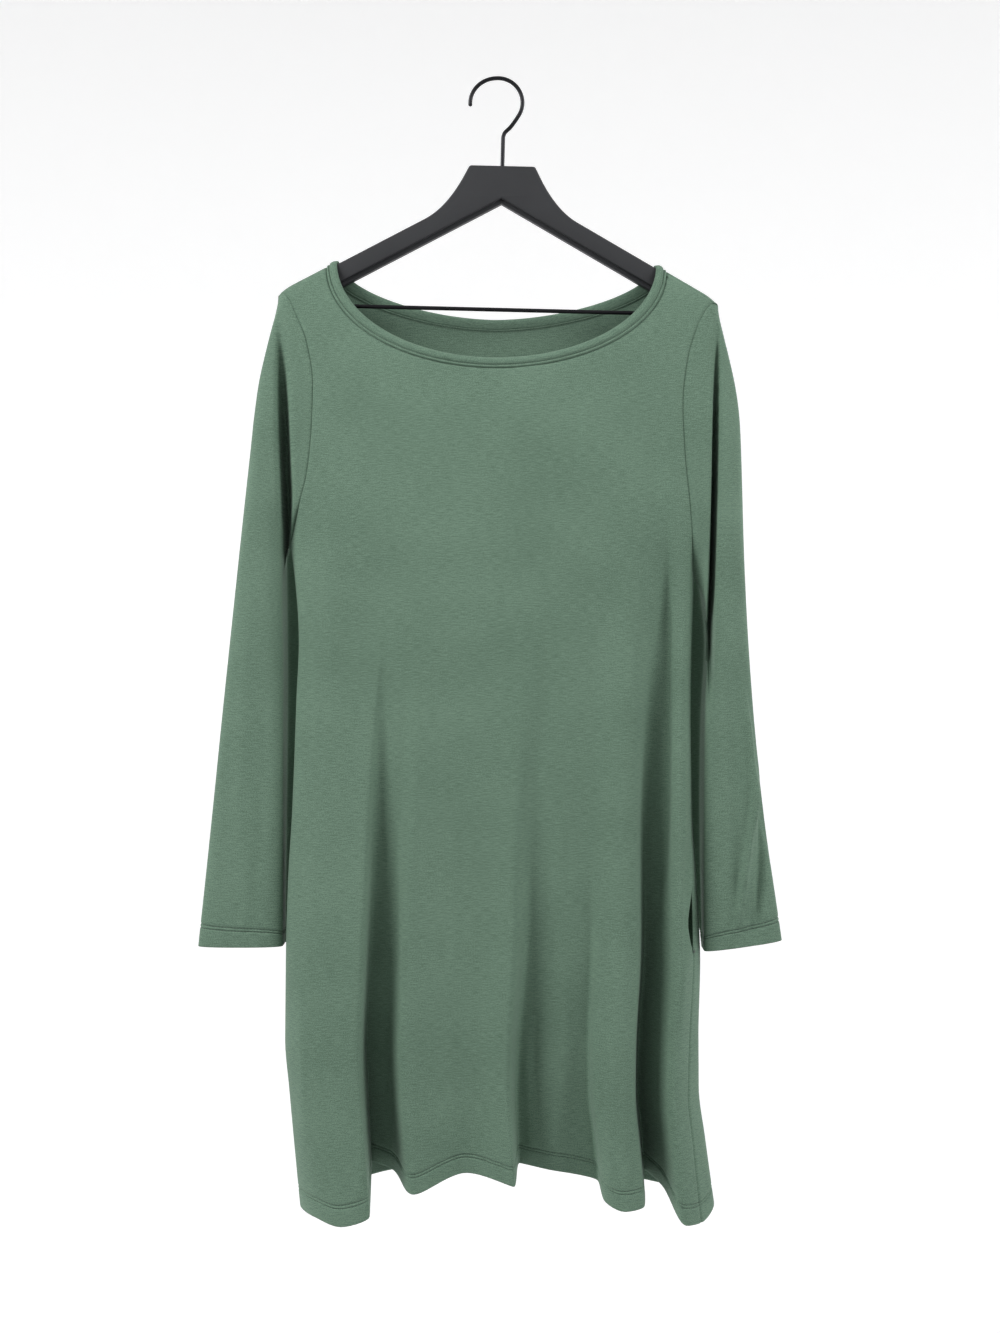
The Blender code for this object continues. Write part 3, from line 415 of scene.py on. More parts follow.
def top_edge(share, corners, front, seams, inset=0.0):
    """A panel's top from right to left: seam, neck and seam, as x, way down and turn."""
    turns = np.linspace(*neck_turns(front, seams, inset), 2000)
    neck = np.stack((*neck_edge(turns, inset), turns), axis=1)
    in_neck = np.clip((share - corners[0]) / (corners[1] - corners[0]), 0.0, 1.0)
    points = evenly(neck, in_neck)
    past_right = np.clip(1 - share / corners[0], 0.0, 1.0)
    past_left = np.clip((share - corners[1]) / (1 - corners[1]), 0.0, 1.0)
    for seam, side, out in ((seams[0], -1, past_right), (seams[1], 1, past_left)):
        end = neck[0 if side < 0 else -1, 0]
        points[:, 0] += (armhole_x(seam, side) - end) * out
        points[out > 0, 1] = seam
    return points


def side_edge(rows, side, front):
    """A panel's armhole edge from the underarm (0) to its hem at the shoulders (1)."""
    sign = 1 if front else -1
    lowest = underarm_down(side) * sign
    down = lowest + (STRIP * sign - lowest) * np.asarray(rows)
    return np.stack((armhole_x(down, side), down), axis=1)


def strip_edge(strips, side, front):
    """The armhole's edge on from there to the shoulder seam, with the same way down as the strips."""
    start = STRIP * (1 if front else -1)
    down = start + (SHOULDER_SEAM[0 if side < 0 else 1] - start) * np.asarray(strips)
    return np.stack((armhole_x(down, side), down), axis=1)


def turn_fade(rows):
    """How much of the turn into the side seams is left, going up from the underarms."""
    return 1.0 - ease(rows / TURN_ROWS)


def panel_shares(around, front):
    """Shares of the way across a panel, right to left, of its columns and of the neck's corners."""
    around = around if front else around[::-1]
    ends = [knot_of(name) for name in (FRONT_CORNERS if front else BACK_CORNERS)]
    share = (around - around[0]) / (around[-1] - around[0])
    return share, [(end - around[0]) / (around[-1] - around[0]) for end in ends]


for front, spacing in ((True, FINE_FRONT), (False, FINE_BACK)):
    places = panel_columns(front, spacing, spacing, SEAM_COLUMNS, CORNER_COLUMNS)
    print("columns in", "front" if front else "back", len(places))

# %% [markdown]
# Above the underarms the panel is bounded by four edges: chest, two armholes and the neckline. A
# plain blend between them would fold over itself at the corners, so the grid is evened out: each
# point moves until its columns and rows are harmonic, the way a rubber sheet pinned at its rim
# settles. The evening is done on a coarse grid first, where it is quick, then carried to the fine
# grid and touched up there.

# %% Even grid of the upper panel
COARSE_ROWS = (0.0, 0.05, 0.12, 0.22, 0.35, 0.50, 0.65, 0.79, 0.91, 1.0)
# Step of the coarse columns, their step beside the sides, and those beside the seams and corners
COARSE_COLUMNS = (0.024, 0.012, (0.0025, 0.0055), (0.0035, 0.0070, 0.0120))
COARSE_ROUNDS, FINE_ROUNDS = 200, 30
RELAX_STEP = 0.8


def relax(points, share, rows, rounds):
    """Each point goes to where share and row, as functions of the place, have no curvature in sum."""
    step_e = (share[2:] - share[1:-1])[None, :, None]
    step_w = (share[1:-1] - share[:-2])[None, :, None]
    step_n = (rows[2:] - rows[1:-1])[:, None, None]
    step_s = (rows[1:-1] - rows[:-2])[:, None, None]
    for _ in range(rounds):
        east, west = points[1:-1, 2:], points[1:-1, :-2]
        north, south = points[2:, 1:-1], points[:-2, 1:-1]
        across = (east - west) / (step_e + step_w)
        along = (north - south) / (step_n + step_s)
        mixed = (points[2:, 2:] - points[2:, :-2] - points[:-2, 2:] + points[:-2, :-2]) / (
            (step_e + step_w) * (step_n + step_s))
        alpha = (along ** 2).sum(axis=-1, keepdims=True)
        gamma = (across ** 2).sum(axis=-1, keepdims=True)
        beta = (across * along).sum(axis=-1, keepdims=True)
        pull = 2 * alpha * (east / step_e + west / step_w) / (step_e + step_w)
        pull += 2 * gamma * (north / step_n + south / step_s) / (step_n + step_s)
        pull -= 2 * beta * mixed
        weight = 2 * alpha / (step_e * step_w) + 2 * gamma / (step_n * step_s)
        points[1:-1, 1:-1] += RELAX_STEP * (pull / weight - points[1:-1, 1:-1])
    return points


def chest_row(around, front):
    """The loop's top row of one panel, from right to left."""
    chest = loop(around, [0.0])[0]
    return chest if front else chest[::-1]


def flat_upper(around, rows, front, start=None):
    """Blend of low and top edge by row, plus each side's miss by share, then evened out."""
    chest = chest_row(around, front)
    sign = 1.0 if front else -1.0
    low = np.stack((chest[:, 0], sign * hung_from_ridge(chest[:, 0], chest[:, 2])), axis=1)
    share, corners = panel_shares(around, front)
    inner = top_edge(share, corners, front, (STRIP * sign, STRIP * sign), -STRIP_NECK)[:, :2]
    t = rows[:, None, None]
    if start is None:
        flat = (1 - t) * low + t * inner
    else:
        flat = start + (1 - t) * (low - start[0]) + t * (inner - start[-1])
    wide = share[None, :, None]
    right = side_edge(rows, -1, front)[:, None, :] - flat[:, :1]
    left = side_edge(rows, 1, front)[:, None, :] - flat[:, -1:]
    flat = flat + (1 - wide) * right + wide * left
    return relax(flat, share, rows, COARSE_ROUNDS if start is None else FINE_ROUNDS)


def upper_panel(around, rows, strips, front):
    """The laid grid from the chest to the shoulder seams: lay() of the even flat grid."""
    coarse_around = panel_columns(front, *COARSE_COLUMNS)
    coarse_rows = np.array(COARSE_ROWS)
    coarse = flat_upper(coarse_around, coarse_rows, front)
    coarse_share = panel_shares(coarse_around, front)[0]
    share, corners = panel_shares(around, front)
    across = through(share, coarse_share, coarse.swapaxes(0, 1)).swapaxes(0, 1)
    flat = flat_upper(around, rows, front, through(rows, coarse_rows, across))
    sign = 1.0 if front else -1.0
    inner = flat[-1]
    outer = top_edge(share, corners, front, SHOULDER_SEAM)[:, :2]
    over = inner + (outer - inner) * strips[:, None, None]
    for end, side, near in ((0, -1, share / corners[0]), (-1, 1, (1 - share) / (1 - corners[1]))):
        miss = strip_edge(strips, side, front) - over[:, end]
        over = over + miss[:, None, :] * np.clip(1 - near, 0.0, 1.0)[None, :, None] ** 2
    turned = chest_row(around, front) - lay(flat[0, :, 0], flat[0, :, 1])
    below = lay(flat[..., 0], flat[..., 1]) + turned * turn_fade(rows)[:, None, None]
    points = np.concatenate((below, lay(over[..., 0], over[..., 1])))
    return points if front else points[:, ::-1]


UPPER_ROWS = np.linspace(0.0, 1.0, 58)
STRIP_ROWS = np.array((0.12, 0.24, 0.36, 0.48, 0.59, 0.69, 0.78, 0.85, 0.91, 0.955, 1.0))
print("rows above the underarms", len(UPPER_ROWS) + len(STRIP_ROWS))

# %% [markdown]
# Every piece of cloth becomes a mesh the same way: a grid of points, its quads, and a UV map in
# metres measured along the cloth itself, so that the knit and its slubs follow the folds. Columns
# that come home, as on a sleeve, share their first and last points, which leaves no seam open.

# %% Meshes from grids
dress = bpy.data.collections.new("dress")
bpy.context.scene.collection.children.link(dress)


def lengths(points, axis):
    """Distance run along the grid in one direction, from its first line."""
    steps = np.linalg.norm(np.diff(points, axis=axis), axis=-1)
    start = np.zeros_like(np.take(steps, [0], axis=axis))
    return np.concatenate((start, np.cumsum(steps, axis=axis)), axis=axis)


def normals_of(points, closed=False):
    """Unit cross product of the steps along the columns and along the rows."""
    if closed:
        wide = np.concatenate((points[:, -2:], points, points[:, :2]), axis=1)
        across = np.gradient(wide, axis=1)[:, 2:-2]
    else:
        across = np.gradient(points, axis=1)
    up = np.gradient(points, axis=0)
    normal = np.cross(across, up)
    return normal / np.maximum(np.linalg.norm(normal, axis=-1, keepdims=True), 1e-9)


def add_surface(name, points, faces, uv=None):
    """An object at the origin with its vertices and faces as given, and one UV pair per corner."""
    mesh = bpy.data.meshes.new(name)
    mesh.vertices.add(len(points))
    mesh.vertices.foreach_set("co", np.ascontiguousarray(points, dtype=np.float32).ravel())
    mesh.loops.add(faces.size)
    mesh.loops.foreach_set("vertex_index", faces.astype(np.int32).ravel())
    mesh.polygons.add(len(faces))
    mesh.polygons.foreach_set("loop_start", np.arange(len(faces), dtype=np.int32) * faces.shape[1])
    mesh.polygons.foreach_set("use_smooth", np.ones(len(faces), dtype=bool))
    mesh.update(calc_edges=True)
    if uv is not None:
        mesh.uv_layers.new(name="cloth")
        mesh.uv_layers["cloth"].uv.foreach_set("vector", uv.astype(np.float32).ravel())
    made = bpy.data.objects.new(name, mesh)
    dress.objects.link(made)
    return made


def grid_corners(rows, columns, closed=False, flip=False):
    """Indices of the four corners of each cell, turned over where the grid faces inwards."""
    index = np.arange(rows * columns).reshape(rows, columns)
    if closed:
        index = np.concatenate((index, index[:, :1]), axis=1)
    corners = np.stack((index[:-1, :-1], index[:-1, 1:], index[1:, 1:], index[1:, :-1]), axis=-1)
    return corners.reshape(-1, 4)[:, ::-1] if flip else corners.reshape(-1, 4)


def add_grid(name, points, closed=False, flip=False, middle=0.5):
    """A grid as a mesh. Its UVs count metres along the cloth from its middle line, and metres of height."""
    rows, columns = points.shape[:2]
    wide = np.concatenate((points, points[:, :1]), axis=1) if closed else points
    across = lengths(wide, 1)
    across = across - across[:, [int(middle * (wide.shape[1] - 1))]]
    pairs = np.stack((across, wide[..., 2]), axis=-1)
    corners = grid_corners(rows, wide.shape[1], False, flip)
    uv = pairs.reshape(-1, 2)[corners]
    return add_surface(name, points.reshape(-1, 3), grid_corners(rows, columns, closed, flip), uv)


def thicken(made, thickness):
    """A wall round the drawn surface, half of it to each side."""
    wall = made.modifiers.new("Wall", "SOLIDIFY")
    wall.thickness = thickness
    wall.offset = 0.0


print("pieces go into", dress.name)

# %% [markdown]
# The big folds alone would look like sheet metal. Jersey carries smaller creases on top of them:
# soft troughs where the cloth starts to fold, narrow ridges that run into the valleys, puckers
# beside the seams. Each one is placed as a line with a half width and a height, and moves
# the cloth along its own normal. They are uneven on purpose, and the back has its own.

# %% Creases
FRONT_CREASES = (
    # x and height at its top, x and height at its foot, bow, half width, height out
    (-0.1730, -0.340, -0.1735, -0.640, 0.004, 0.0130, 0.0022),
    (-0.1480, -0.420, -0.1500, -0.900, 0.003, 0.0090, -0.0014),
    (-0.1230, -0.440, -0.1180, -0.800, -0.004, 0.0180, -0.0036),
    (-0.0950, -0.480, -0.1000, -0.860, 0.003, 0.0120, 0.0016),
    (-0.0170, -0.760, -0.0190, -1.085, 0.002, 0.0120, -0.0030),
    (-0.0440, -0.820, -0.0480, -1.090, -0.002, 0.0130, 0.0016),
    (-0.0180, -0.290, -0.0160, -0.400, 0.001, 0.0050, -0.0008),
    (0.0120, -0.300, 0.0120, -0.420, -0.002, 0.0080, 0.0007),
    (0.0780, -0.285, 0.0740, -0.400, 0.003, 0.0060, -0.0009),
    (0.0900, -0.320, 0.1130, -0.470, -0.004, 0.0060, -0.0007),
    (0.0520, -0.500, 0.0420, -0.700, 0.003, 0.0090, -0.0015),
    (0.0900, -0.520, 0.0960, -0.860, 0.003, 0.0110, -0.0012),
    (0.0620, -0.700, 0.0560, -0.900, 0.002, 0.0070, 0.0012),
    (0.1080, -0.930, 0.1100, -1.100, 0.001, 0.0030, 0.0012),
    (0.1010, -0.840, 0.1000, -1.090, 0.002, 0.0060, -0.0020),
    (0.0660, -0.840, 0.0560, -1.075, 0.004, 0.0060, 0.0016),
    (0.1260, -0.470, 0.1290, -0.700, 0.002, 0.0080, 0.0012),
    (0.1510, -0.330, 0.1600, -0.520, 0.004, 0.0110, -0.0022),
    (0.1690, -0.400, 0.1590, -0.850, 0.001, 0.0065, -0.0085),
    (0.1800, -0.560, 0.1770, -0.960, 0.002, 0.0070, 0.0034),
    (0.1850, -0.740, 0.1800, -0.890, 0.001, 0.0040, -0.0034),
    (0.1915, -0.760, 0.1855, -0.885, 0.001, 0.0020, 0.0014),
    (0.1240, -0.760, 0.1240, -1.090, 0.001, 0.0060, 0.0014),
    (0.0280, -0.960, 0.0330, -1.080, 0.002, 0.0035, 0.0016),
    (0.0420, -0.900, 0.0340, -1.060, -0.002, 0.0040, -0.0014),
    (0.1905, -0.960, 0.1980, -1.030, 0.001, 0.0035, -0.0012),
    (0.1935, -1.020, 0.2030, -1.095, 0.001, 0.0040, 0.0014),
    (-0.1900, -0.500, -0.1850, -0.780, 0.002, 0.0060, -0.0010),
    (-0.1960, -0.880, -0.1900, -1.060, 0.002, 0.0050, 0.0012),
    (-0.1400, -0.940, -0.1420, -1.110, 0.001, 0.0050, -0.0010),
    (0.0330, -0.240, 0.0260, -0.330, 0.001, 0.0120, 0.0006),
    (-0.0800, -0.270, -0.0700, -0.400, 0.002, 0.0100, -0.0006),
)
BACK_CREASES = (
    # the same columns as in front
    (-0.1400, -0.330, -0.1480, -0.560, -0.004, 0.0120, 0.0018),
    (-0.0700, -0.300, -0.0560, -0.520, 0.003, 0.0110, -0.0014),
    (0.0080, -0.270, 0.0020, -0.500, 0.002, 0.0130, 0.0012),
    (0.0740, -0.330, 0.0860, -0.640, -0.003, 0.0120, -0.0018),
    (0.1430, -0.360, 0.1480, -0.620, 0.003, 0.0110, 0.0018),
    (0.0100, -0.700, 0.0060, -1.070, 0.003, 0.0100, -0.0022),
    (0.0800, -0.760, 0.0760, -1.080, -0.003, 0.0080, 0.0016),
    (-0.0620, -0.800, -0.0660, -1.080, 0.002, 0.0090, 0.0018),
    (-0.1250, -0.700, -0.1240, -1.090, -0.003, 0.0100, -0.0020),
    (0.1300, -0.860, 0.1340, -1.090, 0.002, 0.0070, -0.0016),
    (0.1740, -0.900, 0.1800, -1.090, 0.002, 0.0060, 0.0014),
    (-0.1750, -0.560, -0.1700, -0.860, 0.003, 0.0080, -0.0012),
)


CREASE_IN, CREASE_OUT, CREASE_PAST = 0.35, 0.30, 1.06


def creased(points, normal, table):
    """Each crease adds height times a bell across its line, fading in and out along it."""
    x, z = points[..., 0], points[..., 2]
    out = np.zeros_like(x)
    for top_x, top_z, low_x, low_z, bow, half, height in table:
        way = np.array((low_x - top_x, low_z - top_z))
        run = np.linalg.norm(way)
        way = way / run
        along = ((x - top_x) * way[0] + (z - top_z) * way[1]) / run
        beside = -(x - top_x) * way[1] + (z - top_z) * way[0]
        beside = beside - bow * np.sin(np.pi * np.clip(along, 0.0, 1.0))
        fade = ease(along / CREASE_IN) * ease((CREASE_PAST - along) / CREASE_OUT)
        out += height * fade * np.exp(-(beside / half) ** 2)
    return points + normal * out[..., None]


print("creases", len(FRONT_CREASES), "in front,", len(BACK_CREASES), "behind")

# %% [markdown]
# Sewing shapes the cloth beside it. Where a panel meets a seam it dips inwards within 2 mm, so that
# the two sides roll into each other and leave a fine dark line. Along a pocket the side seam is left
# open, and its front edge falls back. The chest row, where the loop meets the laid cloth, is
# averaged away. All of it is added to the grid as soft bells, which keeps the mesh even.

# %% Slits, softening and seams
SEAM_DIP, SEAM_DIP_WIDTH = 0.0013, 0.0015
DIP_ROWS = 8
# Rounds of softening, rows that it reaches and how far from the sides it is whole
CHEST_SOFTENING, CHEST_REACH, CHEST_SIDES = 60, 9.0, 0.03
# Top and foot of a pocket's mouth, and how far its front and back edges move, on the right and left
POCKET = (-0.7735, -0.8690)
SLIT_FRONT = ((0.0004, -0.0004), (-0.0066, -0.0055))
SLIT_BACK = ((0.0004, 0.0006), (0.0008, 0.0070))
SLIT_SPREAD = 0.024


def slit_open(z):
    """How far a pocket's mouth is open at a height, from 0 at its ends to 1 three quarters down."""
    along = np.clip((POCKET[0] - z) / (POCKET[0] - POCKET[1]), 0.0, 1.0)
    return np.sin(np.pi * along ** 2.2)


def slit(points, around, front):
    """Opens the side seams along the pockets, widest three quarters of the way down the mouth."""
    moves = SLIT_FRONT if front else SLIT_BACK
    for which in (0, 1):
        edge = around[0] if (which == 0) == front else around[-1]
        near = np.clip(1 - np.abs(around - edge) / SLIT_SPREAD, 0.0, 1.0)
        open_here = slit_open(points[..., 2]) * ease(near)
        points[..., 0] += moves[which][0] * open_here
        points[..., 1] += moves[which][1] * open_here
    return points


def soften_chest(points, chest):
    """Averages each point with those above and below it, most at the chest row, away from the sides."""
    rows, columns = points.shape[:2]
    place = np.arange(rows) - chest
    fade = np.exp(-(place / CHEST_REACH) ** 2)[:, None] * np.ones(columns)
    edge = np.minimum(lengths(points, 1), lengths(points[:, ::-1], 1)[:, ::-1])
    fade = (fade * ease(edge / CHEST_SIDES))[1:-1, :, None]
    for _ in range(CHEST_SOFTENING):
        mean = (points[:-2] + points[2:]) / 2
        points[1:-1] += 0.5 * fade * (mean - points[1:-1])
    return points


def dip_to_seams(points, normal, chest):
    """Sinks the cloth by a bell of its distance from its edges, square to them or straight back.

    Below the chest row it sinks along its normal. Along the armholes it goes straight back, as the
    sleeve does, and the two meet without any dip at the underarm.
    """
    from_side = np.minimum(lengths(points, 1), lengths(points[:, ::-1], 1)[:, ::-1])
    from_top = lengths(points[::-1], 0)[::-1]
    near = np.exp(-(np.minimum(from_side, from_top) / SEAM_DIP_WIDTH) ** 2)
    rise = (np.arange(len(points)) - chest)[:, None]
    straight = np.zeros_like(normal)
    straight[..., 1] = np.sign(normal[chest // 2:, :, 1].mean())
    armhole = ease(rise / DIP_ROWS)[..., None]
    way = normal * ease(-rise / DIP_ROWS)[..., None] + straight * armhole
    top = (from_top < 3 * SEAM_DIP_WIDTH)[..., None] & (from_side > from_top)[..., None]
    way = np.where(top, normal, way)
    return points - way * (SEAM_DIP * near)[..., None]


print("pocket mouths", round(POCKET[0] - POCKET[1], 3), "m long")

# %% [markdown]
# The front and the back are each one panel. Their hem is not a raw edge: the cloth is turned up
# 20 mm inside and held by a twin needle, which leaves two parallel lines of stitches and a shallow
# groove under each. The turned part is made as real cloth here, by walking the grid back up the
# inside of the same folds, because a line drawn on the cloth would show no edge from below.

# %% The two body panels
CLOTH = 0.0008
HEM_TURN, HEM_GAP = 0.0205, 0.0012
HEM_LINES = (0.0158, 0.0188)
HEM_ROWS = (0.0, 0.0006, 0.0020, 0.0045, 0.0080, 0.0115, 0.0142, 0.0151, 0.0158, 0.0165, 0.0173,
            0.0181, 0.0188, 0.0195, 0.0205, 0.0225, 0.0255, 0.0300, 0.0350)
LOWER_STEP = 0.0075
GROOVE, GROOVE_WIDTH = 0.0012, 0.0006


def body_panel(front, spacing):
    """Loop below, laid grid above, softened at the chest, creased, dipped and turned up at the hem."""
    around = panel_columns(front, spacing, spacing, SEAM_COLUMNS, CORNER_COLUMNS)
    low_z = np.array([row[5] for row in FOLDS]).mean()
    height = chest_height(0.0) - low_z
    above_hem = np.concatenate((HEM_ROWS, np.arange(HEM_ROWS[-1] + LOWER_STEP, height - 0.003, LOWER_STEP)))
    lower = slit(loop(around, 1 - above_hem / height), around, front)
    upper = upper_panel(around, UPPER_ROWS, STRIP_ROWS, front)
    points = soften_chest(np.concatenate((lower, upper)), len(above_hem))
    normal = normals_of(points)
    points = creased(points, normal, FRONT_CREASES if front else BACK_CREASES)
    normal = normals_of(points)
    groove = sum(np.exp(-((above_hem - line) / GROOVE_WIDTH) ** 2) for line in HEM_LINES)
    points[:len(above_hem)] -= normal[:len(above_hem)] * (GROOVE * groove)[:, None, None]
    points = dip_to_seams(points, normal, len(above_hem))
    return points, normal, above_hem


def turned_up(points, normal, above, turn, gap):
    """The same rows again on the inside, from the turn's end down to the edge and round it."""
    inside = np.flatnonzero(above <= turn + 1e-6)[::-1]
    rounding = np.sqrt(np.clip(1 - (1 - above[inside] / gap) ** 2, 0.0, 1.0))
    rounding[above[inside] > gap] = 1.0
    share = (0.5 + 0.5 * rounding)[:, None, None]
    flap = points[inside] - normal[inside] * gap * share
    return np.concatenate((flap, points))


panels = {}
for name, front, spacing in (("dress_front_cloth", True, FINE_FRONT),
                             ("dress_back_cloth", False, FINE_BACK)):
    points, normal, above_hem = body_panel(front, spacing)
    panels[front] = points, normal, above_hem
    made = add_grid(name, turned_up(points, normal, above_hem, HEM_TURN, HEM_GAP))
    thicken(made, CLOTH)
    print(name, points.shape[:2], "cloth", round(float(lengths(points, 0)[-1].mean()), 3), "m long")

# %% [markdown]
# A long sleeve is a tube set into the armhole, and on the hanger it hangs straight down from the
# shoulder's tip and lies almost flat. Its outer and inner edges and its depth come from one table a
# side. Between the arm and the body the cloth doubles over into one deep crease, and further down
# the inner back of the tube is tucked in behind the body, which leaves a dark gap in front.

# %% Sleeve tables
# The sleeves, as the outer and inner edge of the tube and half its depth
SLEEVE_RIGHT = (
    # height, outer x, inner x, middle y, half depth
    (-0.218, -0.2200, -0.1900, 0.0000, 0.0100),
    (-0.230, -0.2275, -0.1900, 0.0000, 0.0150),
    (-0.255, -0.2345, -0.1950, -0.0010, 0.0190),
    (-0.330, -0.2420, -0.2050, -0.0005, 0.0215),
    (-0.465, -0.2570, -0.2150, 0.0010, 0.0200),
    (-0.620, -0.2730, -0.2140, -0.0025, 0.0170),
    (-0.780, -0.2890, -0.2145, -0.0060, 0.0140),
    (-0.865, -0.2980, -0.2145, -0.0070, 0.0120),
)
SLEEVE_LEFT = (
    # height, outer x, inner x, middle y, half depth
    (-0.222, 0.2200, 0.1900, 0.0000, 0.0100),
    (-0.230, 0.2245, 0.1900, 0.0000, 0.0150),
    (-0.255, 0.2320, 0.1920, -0.0010, 0.0190),
    (-0.330, 0.2400, 0.1980, -0.0020, 0.0220),
    (-0.497, 0.2455, 0.2040, -0.0040, 0.0200),
    (-0.560, 0.2490, 0.2100, -0.0050, 0.0190),
    (-0.640, 0.2545, 0.2060, -0.0060, 0.0170),
    (-0.730, 0.2640, 0.2050, -0.0060, 0.0150),
    (-0.865, 0.2830, 0.2055, -0.0070, 0.0120),
)
CUFF_HEIGHT = ((-0.8640, -0.8640), (-0.8580, -0.8690))
SLEEVE_SET_OUT = 0.0002
SLEEVE_JOINS = (0.20, 0.080)
SLEEVE_JOIN_SPREAD = 0.15
SLEEVE_LEAVES = 2.2
SLEEVE_OVAL = 0.78
ARMPIT_CREASE = (
    # side, x and height at its top, x and height at its foot, share of the depth, half width
    (-1, -0.2185, -0.215, -0.2090, -0.540, 0.97, 0.0055),
    (1, 0.2190, -0.225, 0.2125, -0.560, 0.96, 0.0029),
)
CREASE_GROWS, CREASE_ENDS, CREASE_FADES = 0.5, 1.25, 0.4
CREASE_OFF_SEAM = 0.05
CREASE_REACH, CREASE_TUCK = 0.80, 0.55
CREASE_SIDES = (0.6, 1.25)
SLEEVE_TUCK = (
    # height, how far the inner back of the tube goes in behind the body and back, right then left
    (-0.220, 0.000, 0.000, 0.000, 0.000),
    (-0.360, 0.002, 0.001, 0.002, 0.001),
    (-0.500, 0.018, 0.026, 0.018, 0.026),
    (-0.590, 0.019, 0.030, 0.024, 0.034),
    (-0.680, 0.018, 0.029, 0.022, 0.034),
    (-0.780, 0.014, 0.025, 0.017, 0.030),
    (-0.870, 0.007, 0.016, 0.006, 0.014),
)
# Where the tuck starts and how soon it is whole: across the tube, and from its front to its back
TUCK_IN, TUCK_BACK = (0.0, 1.4, -0.22, 0.60), (0.22, 1.0, 0.10, 0.36)
CUFF_TURN, CUFF_LINES = 0.0205, (0.0160, 0.0190)
SLEEVE_CREASES = (
    # side, then as for the body
    (1, 0.2400, -0.590, 0.2560, -0.770, 0.002, 0.0028, 0.0050),
    (1, 0.2560, -0.670, 0.2350, -0.850, 0.003, 0.0028, 0.0065),
    (1, 0.2630, -0.690, 0.2510, -0.860, 0.003, 0.0060, -0.0060),
    (1, 0.2360, -0.765, 0.2480, -0.805, 0.001, 0.0022, 0.0018),
    (1, 0.2450, -0.780, 0.2380, -0.850, -0.001, 0.0022, 0.0020),
    (1, 0.2520, -0.790, 0.2540, -0.855, 0.001, 0.0022, 0.0015),
    (1, 0.2420, -0.740, 0.2400, -0.830, -0.002, 0.0040, -0.0022),
    (1, 0.2420, -0.800, 0.2330, -0.860, 0.001, 0.0060, 0.0012),
    (1, 0.2280, -0.560, 0.2340, -0.820, 0.004, 0.0060, -0.0022),
    (1, 0.2240, -0.300, 0.2280, -0.480, 0.002, 0.0050, 0.0016),
    (1, 0.2380, -0.500, 0.2430, -0.660, 0.002, 0.0070, -0.0010),
    (-1, -0.2420, -0.480, -0.2560, -0.760, -0.003, 0.0090, 0.0012),
    (-1, -0.2340, -0.560, -0.2380, -0.820, 0.003, 0.0080, -0.0012),
    (-1, -0.2660, -0.660, -0.2740, -0.850, 0.002, 0.0090, -0.0012),
    (-1, -0.2480, -0.760, -0.2540, -0.860, 0.002, 0.0070, 0.0012),
    (-1, -0.2350, -0.270, -0.2380, -0.420, 0.002, 0.0060, 0.0010),
)

print("creases in the sleeves", len(SLEEVE_CREASES))

# %% [markdown]
# Each sleeve starts on the armhole's own curve, so that it meets the panels exactly. One column
# starts at each of their rows, from the underarm over the shoulder and down again behind. Where the
# panels dip into the seam, the sleeve dips by as much.

# %% The ring round an armhole
RING_ROWS = np.linspace(0.0, 1.0, 58)


def armhole_ring(side):
    """Way down of each column round an armhole: front from the shoulder, underarm, back again."""
    front = np.concatenate([side_edge(RING_ROWS, side, True), strip_edge(STRIP_ROWS, side, True)])
    back = np.concatenate([side_edge(RING_ROWS, side, False), strip_edge(STRIP_ROWS, side, False)])
    return np.concatenate((front[::-1, 1], back[1:-1, 1]))


def armhole_dip(side):
    """How far each column of the ring goes straight back at the seam: as much as the panels do."""
    down = armhole_ring(side)
    rise = (underarm_down(side) - np.abs(down)) / (underarm_down(side) - STRIP)
    return SEAM_DIP * np.sign(down) * ease(rise * (len(UPPER_ROWS) - 1) / DIP_ROWS)


print("columns round an armhole", len(armhole_ring(1)))

# %% [markdown]
# From the armhole the grid soon becomes a flat oval. The tuck and the armpit's crease could be
# sculpted by hand, but as eased masks round the tube they keep one even grid, and the crease is
# held back from the tube's own back wall, so that the cloth never runs through itself.

# %% The sleeves
def tuck_mask(across, forward, limits):
    """Eased from the outer to the inner edge, times eased from the front to the back."""
    start, steep, front, depth = limits
    return ease(start - steep * across) * ease((front - forward) / depth)


def armpit_crease(x, y, z, turn, rows, side, back):
    """Front cloth moved towards the back by a steep bell across a slanting line."""
    _, top_x, top_z, low_x, low_z, deep, half = ARMPIT_CREASE[0 if side < 0 else 1]
    down_it = (top_z - z) / (top_z - low_z)
    line = top_x + (low_x - top_x) * down_it
    along = ease(down_it / CREASE_GROWS) * ease((CREASE_ENDS - down_it) / CREASE_FADES)
    front = (turn > 0.02) & (turn < 0.5)
    wide = np.where((x - line) * side > 0, half * CREASE_SIDES[0], half * CREASE_SIDES[1])
    into = deep * along * np.exp(-np.abs((x - line) / wide) ** 2.6) * ease(rows / CREASE_OFF_SEAM)
    return y + into * np.maximum(back - y, 0.0) * front


